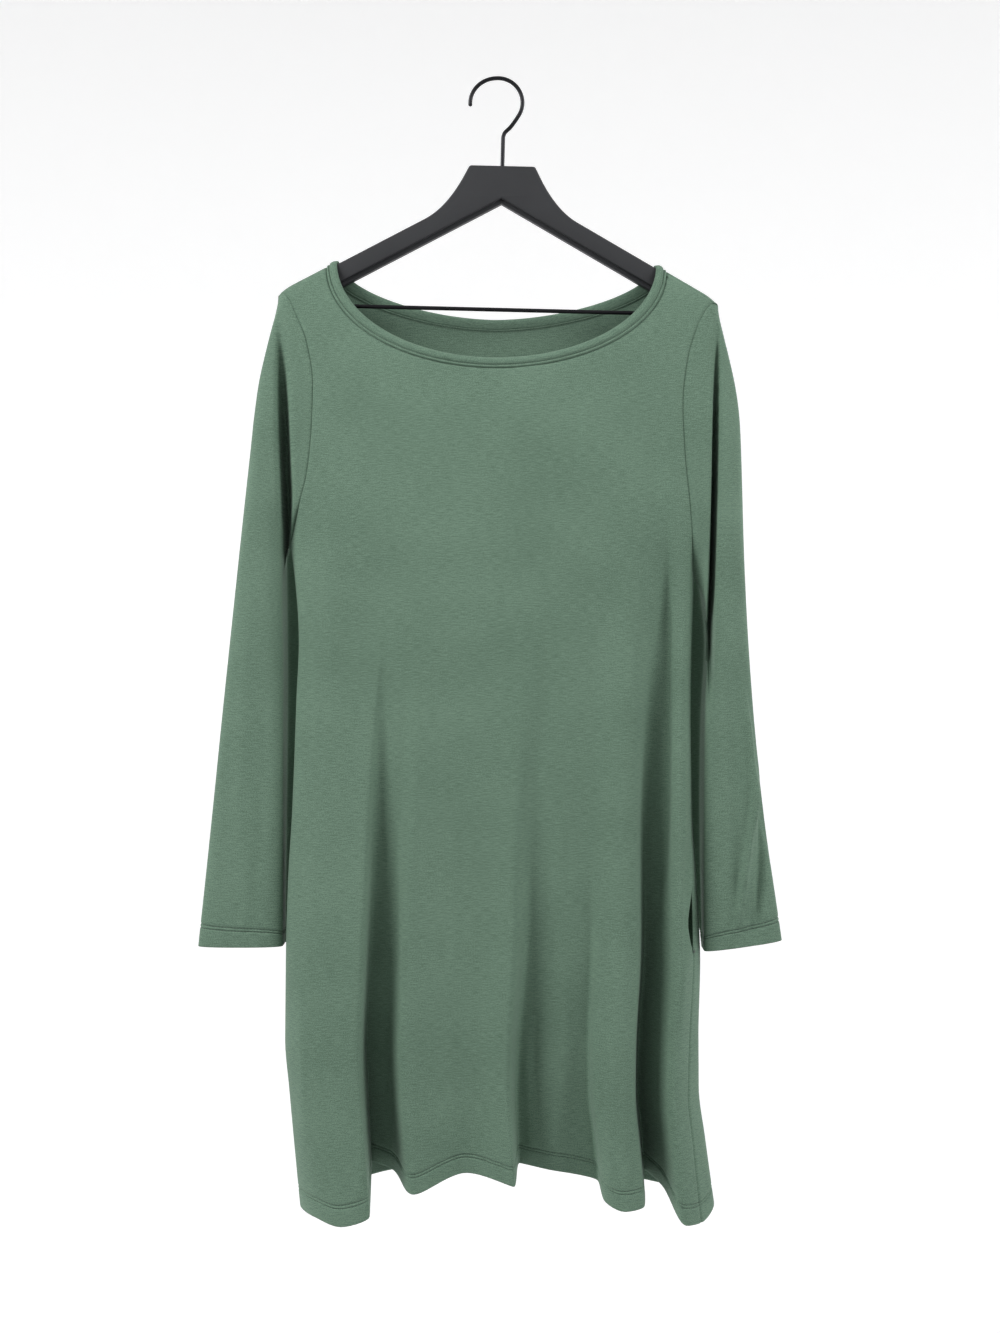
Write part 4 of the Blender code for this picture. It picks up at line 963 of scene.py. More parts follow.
def sleeve(side, above_cuff):
    """Armhole curve, mixed into a flat oval tube as 1 minus (1 minus the way down) to a power."""
    which = 0 if side < 0 else 1
    table = (SLEEVE_RIGHT, SLEEVE_LEFT)[which]
    lowest = underarm_down(side)
    down = armhole_ring(side)
    turn = down / (2 * lowest) % 1.0
    start = lay(armhole_x(down, side), down)
    rise = (lowest - np.abs(down)) / (lowest - STRIP)
    chest = loop([knot_of(SEAM_R if side < 0 else SEAM_L)], [0.0])[0, 0]
    underarm = lay(armhole_x(np.array((lowest, -lowest)), side), np.array((lowest, -lowest)))
    turned = chest - underarm[np.where(down > 0, 0, 1)]
    start += turned * turn_fade(rise)[:, None]
    under = np.exp(-((turn - 0.5) / SLEEVE_JOIN_SPREAD) ** 2)
    start[:, 0] += side * SLEEVE_SET_OUT * under ** 3
    angle = 2 * np.pi * turn
    across = np.sign(np.cos(angle)) * np.abs(np.cos(angle)) ** SLEEVE_OVAL
    forward = np.sign(np.sin(angle)) * np.abs(np.sin(angle)) ** SLEEVE_OVAL
    outer_cuff, inner_cuff = CUFF_HEIGHT[which]
    cuff = (outer_cuff + inner_cuff) / 2 + (outer_cuff - inner_cuff) / 2 * across
    length = start[:, 2].mean() - cuff.mean()
    low = 1 - above_cuff[::-1] / length
    high = np.linspace(0.0, 1.0, 100)[:-1] ** 1.3 * low[0]
    rows = np.concatenate((high, low))[:, None]
    z = start[:, 2] + (cuff - start[:, 2]) * rows
    shape = through(z.ravel(), column(table, 0)[::-1], np.array(table)[::-1, 1:])
    outer, inner, middle, depth = shape.reshape(z.shape + (4,)).transpose(2, 0, 1)
    tube_x = (outer + inner) / 2 + (outer - inner) / 2 * across
    tube_y = middle - depth * forward
    tuck = through(z.ravel(), column(SLEEVE_TUCK, 0)[::-1], np.array(SLEEVE_TUCK)[::-1, 1:])
    tuck = tuck.reshape(z.shape + (4,))[..., 2 * which:2 * which + 2]
    tube_x = tube_x - side * tuck[..., 0] * tuck_mask(across, forward, TUCK_IN)
    tube_y = tube_y + tuck[..., 1] * tuck_mask(across, forward, TUCK_BACK)
    joins = SLEEVE_JOINS[0] + (SLEEVE_JOINS[1] - SLEEVE_JOINS[0]) * under
    mix = 1.0 - np.clip(1.0 - rows / joins, 0.0, 1.0) ** SLEEVE_LEAVES
    x = start[:, 0] + (tube_x - start[:, 0]) * mix
    y = start[:, 1] + (tube_y - start[:, 1]) * mix
    back = middle + CREASE_REACH * depth + CREASE_TUCK * tuck[..., 1]
    return np.stack((x, armpit_crease(x, y, z, turn, rows, side, back), z), axis=-1)


sleeves = {}
for side, name in ((-1, "sleeve_right_cloth"), (1, "sleeve_left_cloth")):
    above_cuff = np.array(HEM_ROWS)
    points = sleeve(side, above_cuff)[::-1]
    out = -side
    normal = normals_of(points, True) * out
    own = [row[1:] for row in SLEEVE_CREASES if row[0] == side]
    in_front = (normal[..., 1] < 0.1) & (armhole_ring(side) > 0)
    points = np.where(in_front[..., None], creased(points, normal, own), points)
    normal = normals_of(points, True) * out
    groove = sum(np.exp(-((above_cuff - line) / GROOVE_WIDTH) ** 2) for line in CUFF_LINES)
    points[:len(above_cuff)] -= normal[:len(above_cuff)] * (GROOVE * groove)[:, None, None]
    from_seam = lengths(points[::-1], 0)[::-1]
    points[..., 1] += armhole_dip(side) * np.exp(-(from_seam / SEAM_DIP_WIDTH) ** 2)
    sleeves[side] = points, normal, above_cuff
    cloth = turned_up(points, normal, above_cuff, CUFF_TURN, HEM_GAP)
    made = add_grid(name, cloth, True, side > 0, 0.75)
    thicken(made, CLOTH)
    print(name, points.shape[:2], "cloth", round(float(lengths(points, 0)[-1].mean()), 3), "m long")

# %% [markdown]
# The neckband is a strip of the same jersey, folded over the raw neckline and sewn down, so it
# reads as a soft raised roll about 10 mm wide. A profile is carried round the neck: from the seam it
# rises to a narrow ridge, sinks where the stitch line holds it, and rounds over to the inner edge.

# %% The neckband
BAND_STEP = 0.0015
BAND_PROFILE = (
    # share of the width, height over the cloth's middle
    (-0.02, -0.0006), (-0.01, 0.0002), (0.03, 0.0009), (0.09, 0.0014), (0.15, 0.0014), (0.20, 0.0009),
    (0.24, 0.0003), (0.28, 0.0008), (0.34, 0.0016), (0.44, 0.0022), (0.56, 0.0025), (0.70, 0.0025),
    (0.82, 0.0021), (0.92, 0.0014), (0.99, 0.0006), (1.01, -0.0002), (0.97, -0.0009), (0.85, -0.0014),
    (0.65, -0.0016), (0.40, -0.0014), (0.15, -0.0011),
)
# Height, number round the neck and start of the small waves in the roll
BAND_WAVES = ((0.06, 7, 0.0), (0.05, 17, 1.0))


def band_frame(turn):
    """Outer line, width vector and raised direction at each turn round the neck."""
    before = lay(*neck_edge(turn - BAND_STEP, BAND_WIDTH / 2))
    after = lay(*neck_edge(turn + BAND_STEP, BAND_WIDTH / 2))
    outer = lay(*neck_edge(turn, 0.0))
    across = lay(*neck_edge(turn, BAND_WIDTH)) - outer
    normal = np.cross(across, after - before)
    return outer, across, normal / np.linalg.norm(normal, axis=1, keepdims=True)


def around_neck(count):
    """Turns spaced so that equal steps lie between them along the neck's outer line."""
    fine = np.linspace(0.0, 1.0, 4001)
    run = lengths(lay(*neck_edge(fine, BAND_WIDTH / 2))[None], 1)[0]
    return np.interp(np.linspace(0.0, run[-1], count + 1)[:-1], run, fine), run[-1]


band_turns, band_length = around_neck(420)
outer, across, normal = band_frame(band_turns)
profile = np.array(BAND_PROFILE)
swell = 1 + sum(high * np.sin(2 * np.pi * waves * band_turns + start)
                for high, waves, start in BAND_WAVES)
band = (outer + across * profile[:, :1, None] + normal * (profile[:, 1:, None] * swell[None, :, None]))
band = np.concatenate((band, band[:1]))
wide = np.concatenate((band, band[:, :1]), axis=1)
pairs = np.stack((lengths(wide, 1), lengths(wide, 0)), axis=-1).reshape(-1, 2)
rows, columns = len(profile), band.shape[1]
index = np.arange(rows * columns).reshape(rows, columns)
index = np.concatenate((index, index[:1]))
index = np.concatenate((index, index[:, :1]), axis=1)
corners = np.stack((index[:-1, :-1], index[:-1, 1:], index[1:, 1:], index[1:, :-1]), axis=-1)
add_surface("neckband_roll", band[:-1].reshape(-1, 3), corners.reshape(-1, 4),
            pairs[grid_corners(rows + 1, columns + 1)])
print("neckband", round(float(band_length), 3), "m round")

# %% [markdown]
# Each stitch is a tiny raised pillow of thread. One small capsule of a few dozen faces is worked
# out once, and numpy sets a copy at every place along a line, turned to follow it. All the stitches
# of one seam are one mesh.

# %% Stitches along a line
def capsule(sides=6):
    """A short thread lying along x, one long and round, pulled down into the cloth at both ends."""
    stations = np.array(((-0.5, 0.25, -0.9), (-0.36, 0.8, -0.25), (0.0, 1.0, 0.0), (0.36, 0.8, -0.25),
                         (0.5, 0.25, -0.9)))
    turn = 2 * np.pi * np.arange(sides) / sides
    ring = np.stack((np.zeros(sides), np.cos(turn), np.sin(turn)), axis=1)
    points = ring[None] * stations[:, 1, None, None]
    points[..., 0] = stations[:, :1]
    points[..., 2] += stations[:, 2:]
    return points.reshape(-1, 3), grid_corners(len(stations), sides, True, True)


def stitches_along(line, normal, pitch, length, radius):
    """Copies of the capsule at equal steps along a line, with x along it and z out of the cloth."""
    run = lengths(line[None], 1)[0]
    count = int(run[-1] / pitch)
    at = (np.arange(count) + 0.5) * run[-1] / count
    place = np.stack([np.interp(at, run, line[:, axis]) for axis in range(3)], axis=1)
    way = np.stack([np.interp(at + pitch / 4, run, line[:, axis]) for axis in range(3)], axis=1) - place
    way /= np.linalg.norm(way, axis=1, keepdims=True)
    out = np.stack([np.interp(at, run, normal[:, axis]) for axis in range(3)], axis=1)
    out -= way * (out * way).sum(axis=1, keepdims=True)
    out /= np.linalg.norm(out, axis=1, keepdims=True)
    beside = np.cross(out, way)
    points, faces = capsule()
    along, side, up = points[:, 0] * length, points[:, 1] * radius, points[:, 2] * radius
    placed = (place[:, None] + way[:, None] * along[:, None] + beside[:, None] * side[:, None]
              + out[:, None] * up[:, None])
    offset = np.arange(count)[:, None, None] * len(points)
    return placed.reshape(-1, 3), (faces[None] + offset).reshape(-1, 4)


def join(parts):
    """Several sets of points and faces as one."""
    starts = np.cumsum([0] + [len(points) for points, _ in parts[:-1]])
    return (np.concatenate([points for points, _ in parts]),
            np.concatenate([faces + start for (_, faces), start in zip(parts, starts)]))


def line_above(points, normal, above, height, lift):
    """The row of a grid at a height over its edge, lifted off the cloth by a little."""
    row = np.interp(height, above, np.arange(len(above)))
    low, share = int(row), row - int(row)
    line = points[low] * (1 - share) + points[low + 1] * share
    out = normal[low]
    return line + out * lift, out


THREAD = 0.00036
LIFT = CLOTH / 2 + THREAD * 0.4
# Step and length of the stitches in the hems and on the band, and the band's line and lift
HEM_STITCH, BAND_STITCH = (0.0032, 0.0027), (0.0028, 0.0021)
BAND_LINE, BAND_LIFT = 0.22, 0.0003
hem_parts = []
for front in (True, False):
    points, normal, above = panels[front]
    for height in HEM_LINES:
        line, out = line_above(points, normal, above, height, LIFT)
        hem_parts.append(stitches_along(line, out, *HEM_STITCH, THREAD))
hem_stitches = add_surface("hem_stitches", *join(hem_parts))
for side, name in ((-1, "cuff_stitches_right"), (1, "cuff_stitches_left")):
    points, normal, above = sleeves[side]
    cuff_parts = []
    for height in CUFF_LINES:
        line, out = line_above(points, normal, above, height, LIFT)
        line = np.concatenate((line, line[:1]))
        out = np.concatenate((out, out[:1]))
        cuff_parts.append(stitches_along(line, out, *HEM_STITCH, THREAD))
    add_surface(name, *join(cuff_parts))
closed_turns = np.append(band_turns, band_turns[0] + 1.0)
outer, across, normal = band_frame(closed_turns)
line = outer + across * BAND_LINE + normal * (BAND_LIFT + THREAD * 0.6)
add_surface("neckband_stitches", *stitches_along(line, normal, *BAND_STITCH, THREAD))
print("stitches", len(hem_stitches.data.polygons) // 24, "in the hem")

# %% [markdown]
# The pockets are set in the side seams: the seam is simply left open for a hand's width, and a flat
# bag of the same jersey hangs inside from the two edges. Only the wearer's left mouth shows, as a
# dark slit between a rolled front edge and the layer behind it. The bag is a flat ring carried along
# a short path, so that it can keep clear of the folds inside the skirt.

# %% Pocket bags
BAG_DROP = 0.055
BAG_OVAL = 0.5
BAG_SEAT = ((0.0017, -0.0014), (-0.0012, 0.0006))
BAG_LEAVES_SEAM = 0.3
BAG_PATH = (
    # share of the way in, right bag x and y, left bag x and y, half height, half gap. The first
    # row's x and y are the seam's own
    (0.00, 0.0000, 0.0000, 0.0000, 0.0000, 0.0440, 0.0016),
    (0.06, -0.1960, 0.0086, 0.1880, -0.0050, 0.0455, 0.0040),
    (0.15, -0.1800, 0.0085, 0.1760, 0.0080, 0.0500, 0.0044),
    (0.30, -0.1560, 0.0100, 0.1570, 0.0235, 0.0620, 0.0040),
    (0.55, -0.1220, 0.0150, 0.1180, 0.0180, 0.0740, 0.0040),
    (0.85, -0.0850, 0.0110, 0.0780, 0.0100, 0.0640, 0.0034),
    (1.00, -0.0650, 0.0080, 0.0620, 0.0080, 0.0300, 0.0018),
)
BAG_COLUMNS = 48


def seam_line(z, side):
    """x and y of a side seam at heights below the underarms."""
    knot = knot_of(SEAM_R if side < 0 else SEAM_L)
    line = loop([knot], np.linspace(1.0, 0.0, 11))[:, 0]
    return np.stack([np.interp(z, line[:, 2], line[:, axis]) for axis in (0, 1)], axis=-1)


def pocket_bag(side):
    """A flat ring at each share of a middle line, from the mouth in the seam to the closed end."""
    table = np.array(BAG_PATH)
    which = 0 if side < 0 else 1
    mouth_height = sum(POCKET) / 2
    mouth = seam_line(mouth_height, side)
    table[0, 1 + 2 * which:3 + 2 * which] = mouth + BAG_SEAT[which]
    fine = np.linspace(0.0, 1.0, 40)
    table = through(fine, table[:, 0], table)
    share, half, gap = table[:, 0], table[:, 5:6], table[:, 6:7]
    middle_line = table[:, 1 + 2 * which:3 + 2 * which]
    along = np.gradient(middle_line, axis=0)
    along /= np.linalg.norm(along, axis=1, keepdims=True)
    angle = 2 * np.pi * np.arange(BAG_COLUMNS) / BAG_COLUMNS
    z = mouth_height - BAG_DROP * share[:, None] + half * np.cos(angle)
    out = gap * np.sign(np.sin(angle)) * np.abs(np.sin(angle)) ** BAG_OVAL
    at_seam = (1 - ease(share / BAG_LEAVES_SEAM))[:, None, None]
    front, back = (np.array(moves[which]) for moves in (SLIT_FRONT, SLIT_BACK))
    opened = np.where((out * side > 0)[..., None], front, back) * slit_open(z)[..., None]
    beside = (seam_line(z, side) - mouth + opened) * at_seam
    x = middle_line[:, :1] - along[:, 1:] * out + beside[..., 0]
    y = middle_line[:, 1:] + along[:, :1] * out + beside[..., 1]
    return np.stack((x, y, z), axis=-1)


bags = {}
for side, name in ((-1, "pocket_bag_right_cloth"), (1, "pocket_bag_left_cloth")):
    points = pocket_bag(side)
    end = points[-1:].mean(axis=1, keepdims=True)
    closing = points[-1:] + (end - points[-1:]) * np.array((0.5, 0.97))[:, None, None]
    bags[side] = add_grid(name, np.concatenate((points, closing)), True, side > 0)
    thicken(bags[side], CLOTH)
print("pocket bags", [bag.name for bag in bags.values()])

# %% [markdown]
# Both ends of a pocket's mouth take the pull of a hand, so each is held by a bar tack: a few long
# stitches laid side by side across the seam. The same capsules make it, on short lines that follow
# the cloth round the seam.

# %% Bar tacks
TACK_HALF, TACK_STEP, TACK_STITCHES = 0.0032, 0.0006, 4
TACK_STITCH, TACK_THREAD = (0.0050, 0.0058), 0.00042


def bar_tack(side, height):
    """Long stitches across a side seam, one above the other, on the outside of the loop."""
    knot = knot_of(SEAM_R if side < 0 else SEAM_L)
    rows = loop(knot + np.array((-TACK_HALF, 0.0, TACK_HALF)), np.linspace(1.0, 0.0, 21))
    parts = []
    for z in height + TACK_STEP * np.arange(TACK_STITCHES):
        line = np.array([[np.interp(z, rows[:, place, 2], rows[:, place, axis]) for axis in range(3)]
                         for place in range(3)])
        way = line[2] - line[0]
        out = np.array((way[1], -way[0], 0.0)) / math.hypot(way[0], way[1])
        normal = np.broadcast_to(out, line.shape)
        parts.append(stitches_along(line + normal * CLOTH, normal, *TACK_STITCH, TACK_THREAD))
    return join(parts)


tacks = join([bar_tack(side, height) for side in (-1, 1) for height in POCKET])
bar_tacks = add_surface("bar_tacks", *tacks)
print("bar tacks", len(bar_tacks.data.polygons) // (24 * TACK_STITCHES))

# %% [markdown]
# The hanger is one flat moulding: a plate for the hook and two slanting arms. It has two layers, a
# face and a slightly deeper back that shows as a thin lip under it. The outline is a curve in the
# plane of the hanger, and a small rounded edge is carried round it on both faces of each layer. A
# bevel on a cut-out shape would do the same, but this way every ring of points is known. All of it
# leans by the tilt at which the hanger hangs.

# %% The hanger's moulding
ARM_DEPTH = 0.0212
ARM_END = 0.2045
PLATE_TOP = -0.0870
PLATE_HALF = 0.0340
PLATE_CORNER = 0.0035
PLATE_SIDE = ((0.0345, -0.0905), (0.0525, -0.1285), (0.0760, -0.1415))
HANGER_THICK = 0.012
HANGER_EDGE = 0.0016
# The back layer: where its front lies, how much deeper its arms are, its edge, and the layers' lap
LIP_FRONT, LIP_SHOWS, LIP_EDGE, LIP_LAP = -0.0020, 0.0038, 0.0010, 0.001


def leaning(points):
    """Turned about the hook by the tilt."""
    x, y, z = points[..., 0], points[..., 1], points[..., 2]
    return np.stack((x * math.cos(TILT) + z * math.sin(TILT), y,
                     z * math.cos(TILT) - x * math.sin(TILT)), axis=-1)


def hanger_outline(arm_depth):
    """Rounded corner, concave side of the plate, arm, round end and underside, and their mirror."""
    corner = np.array((PLATE_HALF - PLATE_CORNER, PLATE_TOP - PLATE_CORNER))
    turns = np.radians(np.linspace(90, 4, 9))
    parts = [corner + PLATE_CORNER * np.stack((np.cos(turns), np.sin(turns)), axis=1)]
    first, control, last = (np.array(point) for point in PLATE_SIDE)
    t = np.linspace(0.0, 1.0, 26)[:, None]
    parts.append((1 - t) ** 2 * first + 2 * t * (1 - t) * control + t * t * last)
    half = arm_depth / 2
    slope = math.tan(ARM_ANGLE)
    middle = np.array((ARM_END, ARM_TOP_APEX - slope * ARM_END - half / math.cos(ARM_ANGLE)))
    turns = np.linspace(math.pi / 2 - ARM_ANGLE, -math.pi / 2 - ARM_ANGLE, 19)
    parts.append(middle + half * np.stack((np.cos(turns), np.sin(turns)), axis=1))
    parts.append(np.array([(0.0, ARM_TOP_APEX - arm_depth / math.cos(ARM_ANGLE))]))
    half_outline = np.concatenate(parts)
    other = half_outline[-2::-1] * np.array((-1.0, 1.0))
    return np.concatenate((half_outline, other)) + np.array((AXIS_X, 0.0))


def rounded_plate(name, outline, front, back, edge):
    """Rings of the outline, each moved inwards and back by a quarter turn, then two flat faces."""
    thick = back - front
    centre = (front + back) / 2
    along = np.roll(outline, -1, axis=0) - np.roll(outline, 1, axis=0)
    along /= np.linalg.norm(along, axis=1, keepdims=True)
    inwards = np.stack((along[:, 1], -along[:, 0]), axis=1)
    turns = np.radians(np.linspace(0, 90, 7))
    inset = np.concatenate((edge * (1 - np.cos(turns)), edge * (1 - np.cos(turns))[::-1]))
    depth = np.concatenate((thick / 2 - edge + edge * np.sin(turns),
                            -(thick / 2 - edge + edge * np.sin(turns))[::-1]))
    order = np.argsort(-depth, kind="stable")
    flat = outline[None] + inwards[None] * inset[order][:, None, None]
    level = np.broadcast_to(centre - depth[order][:, None], flat.shape[:2])
    points = np.stack((flat[..., 0], level, flat[..., 1]), axis=-1)
    rings, count = points.shape[:2]
    quads = grid_corners(rings, count, True)
    mesh = bpy.data.meshes.new(name)
    faces = [tuple(int(i) for i in quad) for quad in quads]
    faces.append(tuple(range(count))[::-1])
    faces.append(tuple(range((rings - 1) * count, rings * count)))
    mesh.from_pydata(leaning(points.reshape(-1, 3)).tolist(), [], faces)
    mesh.polygons.foreach_set("use_smooth", np.ones(len(faces), dtype=bool))
    mesh.set_sharp_from_angle(angle=math.radians(35))
    dress.objects.link(bpy.data.objects.new(name, mesh))


outline = hanger_outline(ARM_DEPTH)
rounded_plate("hanger_moulding", outline, LIP_FRONT, HANGER_THICK / 2, LIP_EDGE)
rounded_plate("hanger_face", hanger_outline(ARM_DEPTH - LIP_SHOWS), -HANGER_THICK / 2,
              LIP_FRONT + LIP_LAP, HANGER_EDGE)
print("hanger", len(outline), "points round its outline")

# %% [markdown]
# The thin rod between the arms and the hook are round steel. A circle is carried along a line that
# stays in the hanger's plane: straight for the rod, and for the hook a stem with two slight bends
# and an arc that opens a little towards its end. Domes close both ends.

# %% The rod and the hook
WIRE_RADIUS = 0.0020
HOOK_RADIUS = 0.0244
HOOK_OPENS_BY = 0.0034
HOOK_ANGLES = (-30.0, 186.0)
HOOK_CENTRE_X = 0.0006
STEM_TOP = -0.0560
STEM_BOTTOM = -0.1010
STEM_BEND = (0.0008, 0.0020)
NECK_BEND = (0.0006, -0.0004)
NECK_BEND_AT = 0.4
BAR_HEIGHT = -0.2295
BAR_RADIUS = 0.0020
BAR_HALF = 0.1990


def round_bar(name, line, radius, sides=20):
    """A circle carried along a line that stays in the plane of the hanger, with domed ends."""
    way = np.gradient(line, axis=0)
    way /= np.linalg.norm(way, axis=1, keepdims=True)
    side = np.stack((-way[:, 2], np.zeros(len(way)), way[:, 0]), axis=1)
    deep = np.array((0.0, 1.0, 0.0))
    turn = 2 * np.pi * np.arange(sides) / sides
    dome = np.radians((90, 75, 50, 25))
    sizes = np.concatenate((np.cos(dome), np.ones(len(line)), np.cos(dome)[::-1]))
    moved = np.concatenate((-np.sin(dome), np.zeros(len(line)), np.sin(dome)[::-1])) * radius * 0.8
    pick = np.concatenate((np.zeros(4, int), np.arange(len(line)), np.full(4, len(line) - 1)))
    sizes[0] = sizes[-1] = 0.02
    centre = line[pick] + way[pick] * moved[:, None]
    ring = (side[pick][:, None] * np.cos(turn)[:, None] + deep * np.sin(turn)[:, None])
    points = centre[:, None] + ring * (radius * sizes)[:, None, None]
    return add_surface(name, leaning(points).reshape(-1, 3), grid_corners(len(pick), sides, True, True))


bar_line = np.stack((np.linspace(-BAR_HALF, BAR_HALF, 12) + AXIS_X, np.zeros(12),
                     np.full(12, BAR_HEIGHT)), axis=1)
round_bar("trouser_bar", bar_line, BAR_RADIUS)
first, last = np.radians(HOOK_ANGLES)
turns = np.linspace(first, last, 70)
radius = HOOK_RADIUS + HOOK_OPENS_BY * ease((turns - math.pi / 2) / (last - math.pi / 2))
arc = np.stack((HOOK_CENTRE_X + radius * np.cos(turns),
                WIRE_RADIUS - HOOK_RADIUS + radius * np.sin(turns)), axis=1)
bend = np.array((AXIS_X + STEM_BEND[0], STEM_TOP + STEM_BEND[1]))
neck = bend + (arc[0] - bend) * NECK_BEND_AT + NECK_BEND
stem = np.array(((AXIS_X, STEM_BOTTOM), (AXIS_X, STEM_TOP - STEM_BEND[1]), bend, neck))
path = np.concatenate((stem, arc))
run = lengths(path[None], 1)[0]
fine = np.concatenate((np.linspace(0.0, run[len(stem)], 40)[:-1], run[len(stem):]))
path = through(fine, run, path)
path = np.stack((path[:, 0], np.zeros(len(path)), path[:, 1]), axis=1)
round_bar("wire_hook", path, WIRE_RADIUS)
print("wire", round(float(run[-1]), 3), "m long from the plate to the hook's end")

# %% [markdown]
# Shader maths reads best as plain sums. One small class wraps a socket and turns +, -, * and the
# like into Math nodes, also when a number stands first, as in 1 - mask. Every other node comes from
# one method that takes its type, its settings and the values of its sockets.

# %% Shader helper
class Wire:
    """A socket of a material that can be used in sums."""

    def __init__(self, look, socket):
        self.look, self.socket = look, socket

    def sum_of(self, operation, *values):
        """One Math node on values or sockets."""
        return self.look.node("ShaderNodeMath", {"operation": operation}, dict(enumerate(values)))

    def __add__(self, other):
        return self.sum_of("ADD", self, other)

    __radd__ = __add__

    def __mul__(self, other):
        return self.sum_of("MULTIPLY", self, other)

    __rmul__ = __mul__

    def __sub__(self, other):
        return self.sum_of("SUBTRACT", self, other)

    def __rsub__(self, other):
        return self.sum_of("SUBTRACT", other, self)

    def sine(self):
        return self.sum_of("SINE", self)

    def size(self):
        return self.sum_of("ABSOLUTE", self)


class Look:
    """A material with its shader, and one method for all other nodes."""

    def __init__(self, name, **constants):
        self.material = bpy.data.materials.new(name)
        self.material.use_nodes = True
        self.tree = self.material.node_tree
        self.shader = self.tree.nodes["Principled BSDF"]
        for socket, value in constants.items():
            self.shader.inputs[socket.replace("_", " ")].default_value = value

    def node(self, kind, settings, sockets, output=0):
        """Any node: its type, its settings, the values or links of its sockets, and its output."""
        made = self.tree.nodes.new(kind)
        for name, value in settings.items():
            setattr(made, name, value)
        for name, value in sockets.items():
            if isinstance(value, Wire):
                self.tree.links.new(value.socket, made.inputs[name])
            else:
                made.inputs[name].default_value = value
        return Wire(self, made.outputs[output])

    def feed(self, name, wire):
        """A link into the material's own shader."""
        self.tree.links.new(wire.socket, self.shader.inputs[name])

    def mixed(self, factor, low, high):
        """A colour between two others."""
        return self.node("ShaderNodeMix", {"data_type": "RGBA"}, {0: factor, 6: low, 7: high}, 2)

    def noise(self, vector, stretch, scale, detail, rough=0.5):
        """Noise on a stretched vector, from 0 to 1."""
        placed = self.node("ShaderNodeVectorMath", {"operation": "MULTIPLY"}, {0: vector, 1: stretch})
        return self.node("ShaderNodeTexNoise", {"noise_dimensions": "3D"},
                         {"Vector": placed, "Scale": scale, "Detail": detail, "Roughness": rough})

    def bump(self, height, strength, distance):
        """Relief from a height, into the shader's normal."""
        sockets = {"Strength": strength, "Distance": distance, "Height": height}
        self.feed("Normal", self.node("ShaderNodeBump", {}, sockets))


print("materials before the first", len(bpy.data.materials))

# %% [markdown]
# The jersey is a fine plain knit in a soft grey green, spun from slightly uneven yarn. Close up it
# has tiny wales; from a step away one sees faint slubs that run across the cloth, and a matt surface
# with just a breath of sheen. The pattern is read from the UV map in metres, so slubs follow the
# cloth round its folds, and the knit is a product of two sines at the real stitch size.

# %% Jersey and thread
JERSEY_DARK = (0.084, 0.142, 0.099, 1.0)
JERSEY_LIGHT = (0.162, 0.254, 0.184, 1.0)
# The thread is a little darker green than the cloth. These colours are darker still: painted shade that
# stands in for the shadow in the grooves under the stitches.
THREAD_SHADED_DARK = (0.034, 0.056, 0.041, 1.0)
THREAD_SHADED_LIGHT = (0.056, 0.090, 0.066, 1.0)
WALE, COURSE = 0.00105, 0.00080
# Shares of the slubs, the marl and the slow clouds in the tone, and its contrast
SLUB_SHARE, MARL_SHARE, CLOUD_SHARE, CONTRAST = 0.40, 0.48, 0.12, 5.4


def jersey_look(name, dark, light):
    """Three noises in one tone, and a bump of two rectified sines at the stitch's width and height."""
    look = Look(name, Sheen_Weight=0.12, Sheen_Roughness=0.55, Sheen_Tint=(0.80, 0.95, 0.86, 1.0),
                Specular_IOR_Level=0.25)
    cloth = look.node("ShaderNodeUVMap", {"uv_map": "cloth"}, {})
    slub = look.noise(cloth, (110.0, 1200.0, 1.0), 1.0, 3.0, 0.6)
    marl = look.noise(cloth, (1000.0, 1300.0, 1.0), 1.0, 1.0)
    cloudy = look.noise(cloth, (9.0, 13.0, 1.0), 1.0, 2.0)
    tone = slub * SLUB_SHARE + marl * MARL_SHARE + cloudy * CLOUD_SHARE
    tone = (tone - 0.5) * CONTRAST + 0.5
    look.feed("Base Color", look.mixed(tone, dark, light))
    look.feed("Roughness", 0.90 - tone * 0.10)
    across = look.node("ShaderNodeSeparateXYZ", {}, {0: cloth})
    up = Wire(look, across.socket.node.outputs[1])
    wales = (across * (math.pi / WALE)).sine().size()
    courses = (up * (math.pi / COURSE)).sine().size()
    look.bump(wales * 0.5 + courses * 0.3 + slub * 0.5, 0.45, 0.00012)
    return look.material


jersey = jersey_look("green_jersey", JERSEY_DARK, JERSEY_LIGHT)
band_jersey = jersey_look("green_jersey_band", JERSEY_DARK, JERSEY_LIGHT)
# The thread's finish mixes the two colours above: its own darker green plus painted groove shade.
thread_look = Look("green_thread_painted_shade", Roughness=0.55, Sheen_Weight=0.1)
place = thread_look.node("ShaderNodeTexCoord", {}, {}, 3)
thread_tone = thread_look.noise(place, (1.0, 1.0, 1.0), 900.0, 2.0)
thread_look.feed("Base Color", thread_look.mixed(thread_tone, THREAD_SHADED_DARK, THREAD_SHADED_LIGHT))
thread_look.bump(thread_tone, 0.3, 0.0001)
thread = thread_look.material
print("jersey nodes", len(jersey.node_tree.nodes))

# %% [markdown]
# The hanger's plastic is a matt charcoal with the finest moulded grain. The hook and the rod are
# satin black metal. Both would look flat with one colour, so a slow noise varies the tone and a
# fine one the roughness.

# %% Plastic and metal
def coated_look(name, dark, light, roughness, spread, grain, metallic, depth):
    """A slow noise between two colours, and a fine one in the roughness and the bump."""
    look = Look(name, Metallic=metallic)
    place = look.node("ShaderNodeTexCoord", {}, {}, 3)
    slow = look.noise(place, (1.0, 1.0, 1.0), 22.0, 3.0)
    fine = look.noise(place, (1.0, 1.0, 1.0), grain, 2.0)
    look.feed("Base Color", look.mixed(slow, dark, light))
    look.feed("Roughness", roughness + (fine - 0.5) * spread)
    look.bump(fine, 0.25, depth)
    return look.material


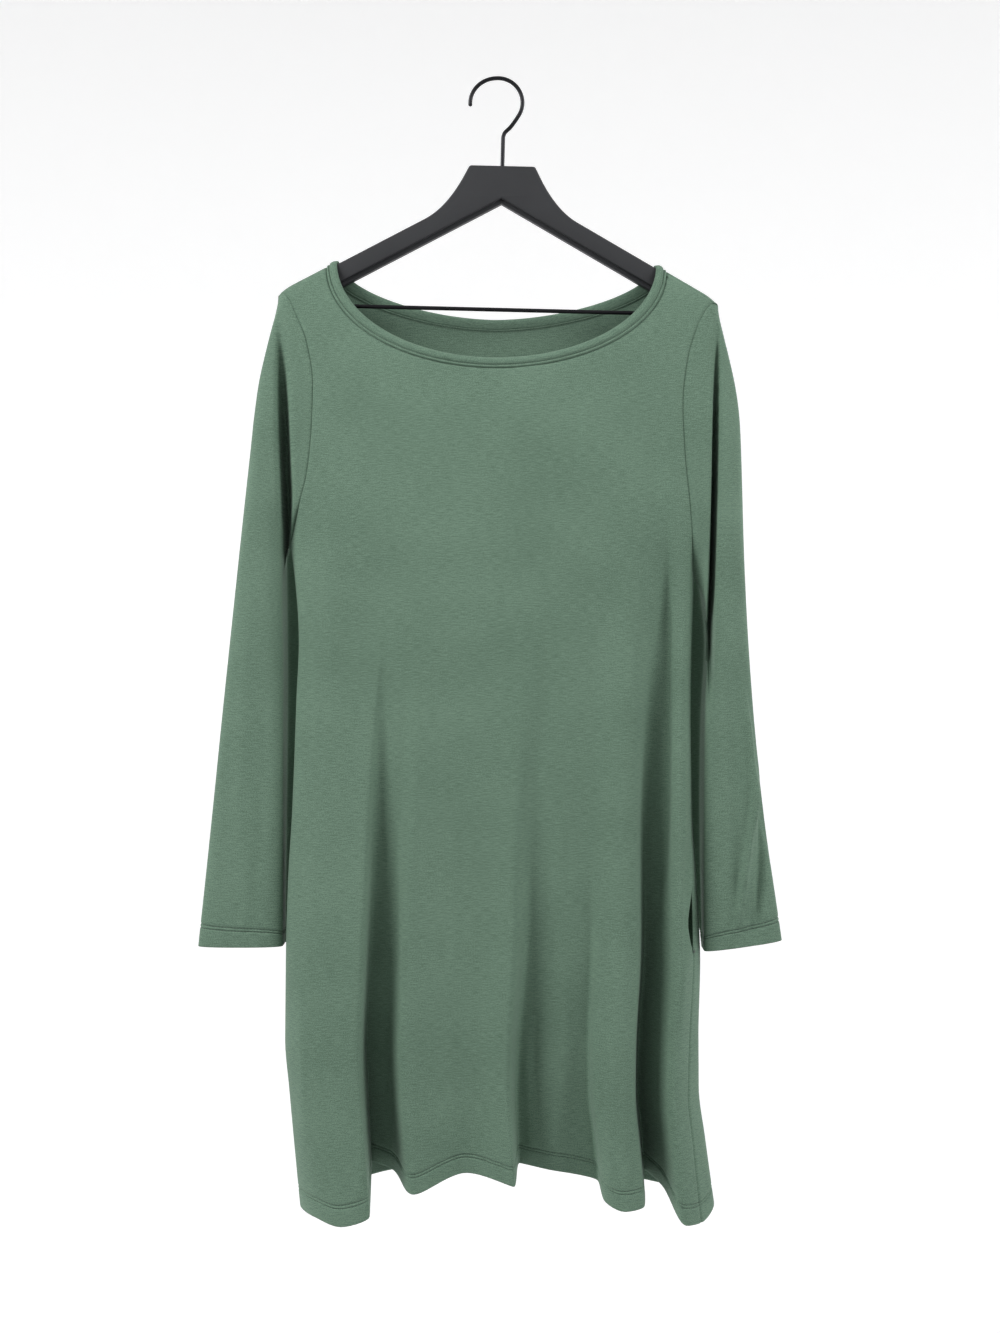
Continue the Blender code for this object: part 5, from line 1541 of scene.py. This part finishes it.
plastic = coated_look("charcoal_plastic", (0.019, 0.020, 0.022, 1.0), (0.027, 0.028, 0.031, 1.0),
                      0.55, 0.16, 1400.0, 0.0, 0.00006)
metal = coated_look("satin_black_metal", (0.016, 0.016, 0.018, 1.0), (0.026, 0.026, 0.029, 1.0),
                    0.36, 0.14, 900.0, 0.75, 0.00003)
print("hanger finishes", plastic.name, metal.name)

# %% [markdown]
# Finishes go onto the pieces, and every piece takes the place of its plain solid in the frame and
# hangs with it. The cloth pieces' cut sizes are then listed, and each one's area is printed beside
# the area of its cut.

# %% Finishes, frame places and sheets
objects = bpy.data.objects
finish_of = (
    # piece, finish, slot, solid that it stands for
    ("dress_front_cloth", jersey, "jersey", "dress_front"),
    ("dress_back_cloth", jersey, "jersey", "dress_back"),
    ("sleeve_right_cloth", jersey, "jersey", "sleeve_right"),
    ("sleeve_left_cloth", jersey, "jersey", "sleeve_left"),
    ("neckband_roll", band_jersey, "jersey", "neckband"),
    ("pocket_bag_right_cloth", jersey, "jersey", "pocket_bag_right"),
    ("pocket_bag_left_cloth", jersey, "jersey", "pocket_bag_left"),
    ("hem_stitches", thread, "jersey", None),
    ("bar_tacks", thread, "jersey", None),
    ("cuff_stitches_right", thread, "jersey", None),
    ("cuff_stitches_left", thread, "jersey", None),
    ("neckband_stitches", thread, "jersey", None),
    ("hanger_moulding", plastic, "hanger_moulding", "hanger_body"),
    ("hanger_face", plastic, "hanger_moulding", None),
    ("trouser_bar", metal, "hanger_metal", "hanger_bar"),
    ("wire_hook", metal, "hanger_metal", "hanger_hook"),
)
for name, finish, slot, node in finish_of:
    piece = objects[name]
    piece.data.materials.append(finish)
    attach(piece, "root")
    if node:
        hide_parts(node)


def cloth_area(name):
    """Half of a thickened piece's surface."""
    made = objects[name].evaluated_get(bpy.context.evaluated_depsgraph_get())
    mesh = made.to_mesh()
    areas = np.empty(len(mesh.polygons))
    mesh.polygons.foreach_get("area", areas)
    made.to_mesh_clear()
    return float(areas.sum()) / 2


bpy.context.view_layer.update()
SHEETS = (
    # piece, cut width, cut length, share of that rectangle, sewing on it
    ("dress_front_cloth", 0.620, 0.990, 0.70, ("hem_stitches", "bar_tacks")),
    ("dress_back_cloth", 0.580, 0.990, 0.70, ()),
    ("sleeve_right_cloth", 0.270, 0.670, 0.72, ("cuff_stitches_right",)),
    ("sleeve_left_cloth", 0.270, 0.670, 0.72, ("cuff_stitches_left",)),
    ("neckband_roll", 0.024, 0.820, 0.70, ("neckband_stitches",)),
    ("pocket_bag_right_cloth", 0.290, 0.150, 0.80, ()),
    ("pocket_bag_left_cloth", 0.290, 0.150, 0.80, ()),
)
for name, width, length, share, sewing in SHEETS:
    area = width * length * share
    print(name, "cloth", round(cloth_area(name), 3), "m2, cut", round(area, 3), "m2")

# %% [markdown]
# A plain studio: a floor that curves up into a wall all round, wide enough to stay behind the camera
# from any side. Its paint also glows, a painted glow that lights the dress softly and keeps the
# backdrop white. Behind the dress it is pale and glows most, and it darkens towards the front, so
# that little light comes straight from the camera's side and the folds keep their depth.

# %% The room
def pale_room(radius, floor, top, curve):
    """Floor and wall in one: a quarter round between a flat disc and an upright wall, turned about z."""
    turns = np.radians(np.linspace(-90, 0, 14))
    flat = np.linspace(0.0, radius - curve, 10)
    wall = np.linspace(floor + curve, top, 10)[1:]
    profile = np.concatenate((np.stack((flat, np.full(10, floor)), axis=1),
                              np.stack((radius - curve + curve * np.cos(turns),
                                        floor + curve + curve * np.sin(turns)), axis=1)[1:],
                              np.stack((np.full(9, radius), wall), axis=1)))
    turn = 2 * np.pi * np.arange(96) / 96
    points = np.stack((profile[:, :1] * np.cos(turn), profile[:, :1] * np.sin(turn),
                       np.broadcast_to(profile[:, 1:], (len(profile), 96))), axis=-1)
    return add_surface("pale_room", points.reshape(-1, 3), grid_corners(len(profile), 96, True))


room = pale_room(4.0, -1.75, 3.2, 1.4)
ROOM_NEAR, ROOM_FAR = (0.28, 0.28, 0.29, 1.0), (0.90, 0.90, 0.90, 1.0)
GLOW_NEAR, GLOW_FAR = (0.18, 0.18, 0.18, 1.0), (1.0, 1.0, 1.0, 1.0)
# The walls glow as well as reflect: a painted glow, strongest behind the dress, that lights it softly and
# keeps the backdrop white.
room_look = Look("pale_paint_and_painted_glow", Roughness=0.9, Specular_IOR_Level=0.1, Emission_Strength=0.31)
room_place = room_look.node("ShaderNodeTexCoord", {}, {}, 3)
room_depth = room_look.node("ShaderNodeSeparateXYZ", {}, {0: room_place}, 1)
far = room_look.node("ShaderNodeMapRange", {"interpolation_type": "SMOOTHSTEP"},
                     {"Value": room_depth, "From Min": -2.5, "From Max": 2.0})
room_look.feed("Base Color", room_look.mixed(far, ROOM_NEAR, ROOM_FAR))
room_look.feed("Emission Color", room_look.mixed(far, GLOW_NEAR, GLOW_FAR))
room.data.materials.append(room_look.material)

world = bpy.data.worlds.new("sky")
world.use_nodes = True
world.node_tree.nodes["Background"].inputs["Color"].default_value = (1.0, 1.0, 1.0, 1.0)
world.node_tree.nodes["Background"].inputs["Strength"].default_value = 0.25
bpy.context.scene.world = world
print("room", len(room.data.polygons), "faces")

# %% [markdown]
# Side light is what draws folds. A broad soft light stands to each side, the left a little stronger,
# and a faint one high in front only lifts the chest.

# %% Lights
def soft_light(name, place, aim, width, height, power):
    """A rectangle of light at a place, turned towards another."""
    data = bpy.data.lights.new(name, "AREA")
    data.shape = "RECTANGLE"
    data.size, data.size_y = width, height
    data.energy = power
    made = bpy.data.objects.new(name, data)
    made.location = place
    way = np.array(aim) - np.array(place)
    rise = math.atan2(way[2], math.hypot(way[0], way[1]))
    made.rotation_euler = (math.pi / 2 + rise, 0.0, math.atan2(way[1], way[0]) - math.pi / 2)
    bpy.context.scene.collection.objects.link(made)


middle = (0.0, 0.0, -0.6)
soft_light("high_front", (-0.2, -1.3, 1.0), middle, 2.2, 0.8, 4.5)
soft_light("left_side", (-2.0, -1.2, 0.6), middle, 1.2, 1.8, 57.0)
soft_light("right_side", (2.0, -1.2, 0.6), middle, 1.2, 1.8, 45.0)
scene = bpy.context.scene
scene.view_settings.view_transform = "Standard"

# %% [markdown]
# Last, the view layer is brought up to date.

# %% Finish
bpy.context.view_layer.update()
